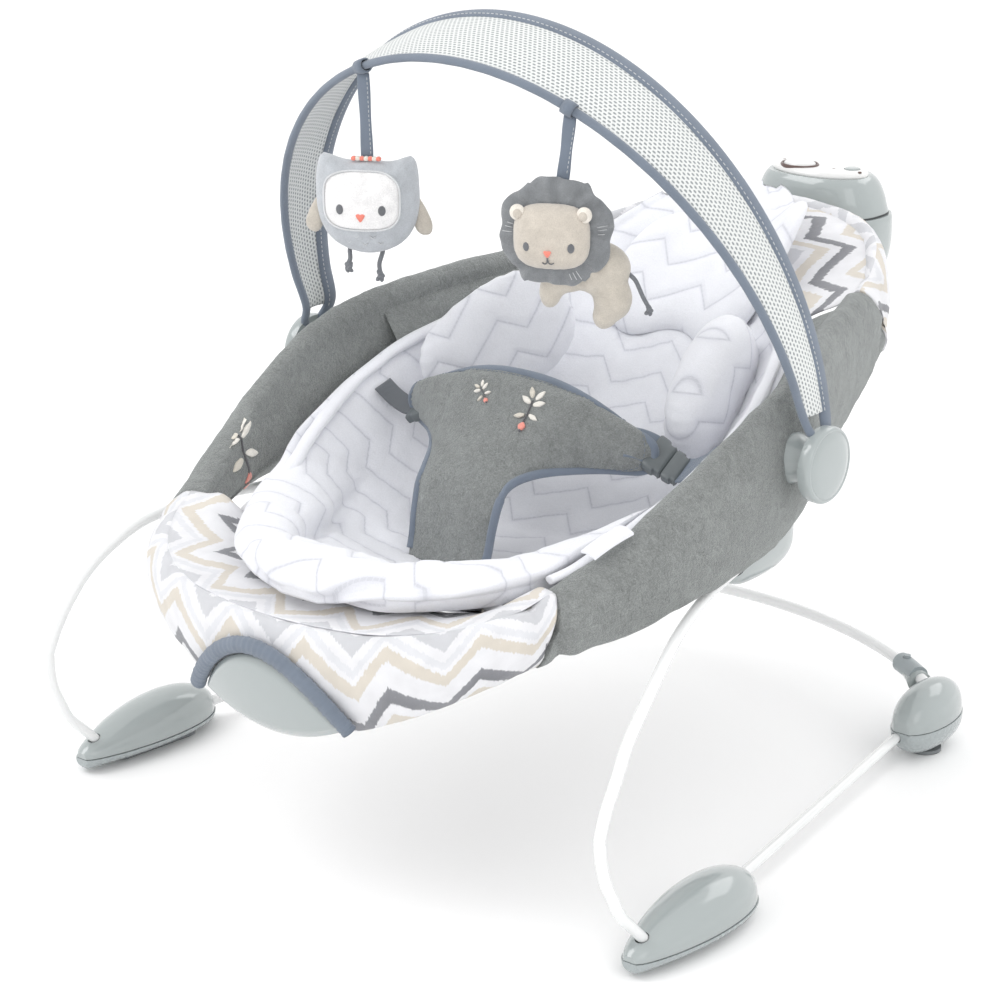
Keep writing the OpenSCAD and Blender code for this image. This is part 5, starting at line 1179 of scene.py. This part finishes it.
LB.append(knot("lion_tail_knot", (54.5, 7, -126), 2.3, M["rope"], WL, seed=40))
for o in LB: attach(o, "lion")
toy_strap("lion_strap", 38, WL, -5.0, "lion", top=6.0)
# loops that hold the toy straps round the front bow
for nm, p, deg in (("owl", owl_p, 30), ("lion", lion_p, 26)):
    i = int(np.argmin(np.abs(FB[20:-20, 0] - p[0]))) + 20; t = tangents(FB)[i]; c = FB[i]
    a_ = unit(np.cross(t, A([0, 0, 1]))); b_ = np.cross(t, a_)
    ringp = [c + a_ * 5.0 * math.cos(q_) + b_ * 4.6 * math.sin(q_) for q_ in np.linspace(0, 2 * math.pi, 40, endpoint=False)]
    R = []
    for q_, pp in zip(np.linspace(0, 2 * math.pi, 40, endpoint=False), ringp):
        nrm = unit(pp - c); R.append([pp + t * w_ + nrm * h_2 for w_, h_2 in ((-4.4, -.6), (-4.4, .6), (0, .8), (4.4, .6), (4.4, -.6), (0, -.5))])
    o = loft("toy_loop_" + nm, R, M["slate"], loop=True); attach(o, "toy_bar")

# sprig on the left-hand bolster
RBl = bol["left"]; nrr, mm = RBl.shape[:2]
sc_i = int(nrr * .165); ring_ = RBl[sc_i]
inner = ring_[-6]; nx = unit(np.cross(RBl[sc_i + 1][-6] - RBl[sc_i][-6], RBl[sc_i][-5] - RBl[sc_i][-6]))
cen_ = ring_.mean(0)
if np.dot(nx, inner - cen_) < 0: nx = -nx
mo3 = sprig("bolster_embroidery", inner + nx * 1.2, nx, (0, -.1, 1), 1.7)
# the stitches lie on the bolster's own surface
from mathutils.bvhtree import BVHTree
bl_ = bpy.data.objects["plush_bolster_left"]; tree = BVHTree.FromPolygons([v.co[:] for v in bl_.data.vertices], [tuple(p.vertices) for p in bl_.data.polygons])
p0 = (A(inner) + [0, YS, 0]) * .001
for v in mo3.data.vertices:
    h_ = float(np.dot(A(v.co[:]) - p0, nx)); loc, nrm, _, _ = tree.find_nearest(v.co)
    nv = A(nrm[:]); nv = nv if np.dot(nv, nx) > 0 else -nv
    v.co = A(loc[:]) + nv * (.0003 + min(.0011, max(-.0002, h_ - .0012)))
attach(mo3, "seat")

# ---------------------------------------------------------------- floor, light and camera
fl = bpy.data.meshes.new("floor"); fl.from_pydata([(-9, -9, -.0004), (9, -9, -.0004), (9, 9, -.0004), (-9, 9, -.0004)], [], [(0, 1, 2, 3)])
floor = bpy.data.objects.new("floor", fl); SCN.collection.objects.link(floor)
fm = Mat("floor_pale", (250, 250, 250), .6, spec=.2); fm.color(fm.vary(fm.noise(3, 2), .995, 1.003)); fl.materials.append(fm.m)
w = bpy.data.worlds.new("studio"); SCN.world = w; w.use_nodes = True
w.node_tree.nodes["Background"].inputs[0].default_value = (1, 1, 1, 1); w.node_tree.nodes["Background"].inputs[1].default_value = 1.15
def area(name, loc, to, size, watts):
    l = bpy.data.lights.new(name, "AREA"); l.shape = "RECTANGLE"; l.size = size[0]; l.size_y = size[1]; l.energy = watts
    o = bpy.data.objects.new(name, l); SCN.collection.objects.link(o); o.location = loc
    o.rotation_euler = (Vector(to) - Vector(loc)).to_track_quat("-Z", "Y").to_euler()
area("key", (-1.6, -1.6, 2.6), (0, 0, .25), (1.6, 1.6), 26)
area("fill", (2.6, -1.4, 1.5), (0, 0, .25), (1.8, 1.8), 10)
area("rim", (.8, 2.4, 2.2), (0, 0, .35), (2.0, 1.2), 12)
# camera
az, el, D = math.radians(38.41), math.radians(19.67), 2.05827
tgt = Vector((0, -.12933 + YS * .001, .200))
bk = Vector((math.sin(az) * math.cos(el), -math.cos(az) * math.cos(el), math.sin(el)))
cam = bpy.data.cameras.new("camera"); cam.lens = 98.802; cam.sensor_width = 36; cam.sensor_fit = "HORIZONTAL"
cam.shift_x = -.0110; cam.shift_y = .0311; cam.clip_end = 50
co = bpy.data.objects.new("camera", cam); SCN.collection.objects.link(co)
rt = Vector((math.cos(az), math.sin(az), 0)); up = bk.cross(rt)
mw = Matrix((( rt.x, up.x, bk.x, 0), (rt.y, up.y, bk.y, 0), (rt.z, up.z, bk.z, 0), (0, 0, 0, 1)))
co.matrix_world = Matrix.Translation(tgt + bk * D) @ mw
SCN.camera = co
SCN.view_settings.view_transform = "Standard"; SCN.view_settings.look = "None"
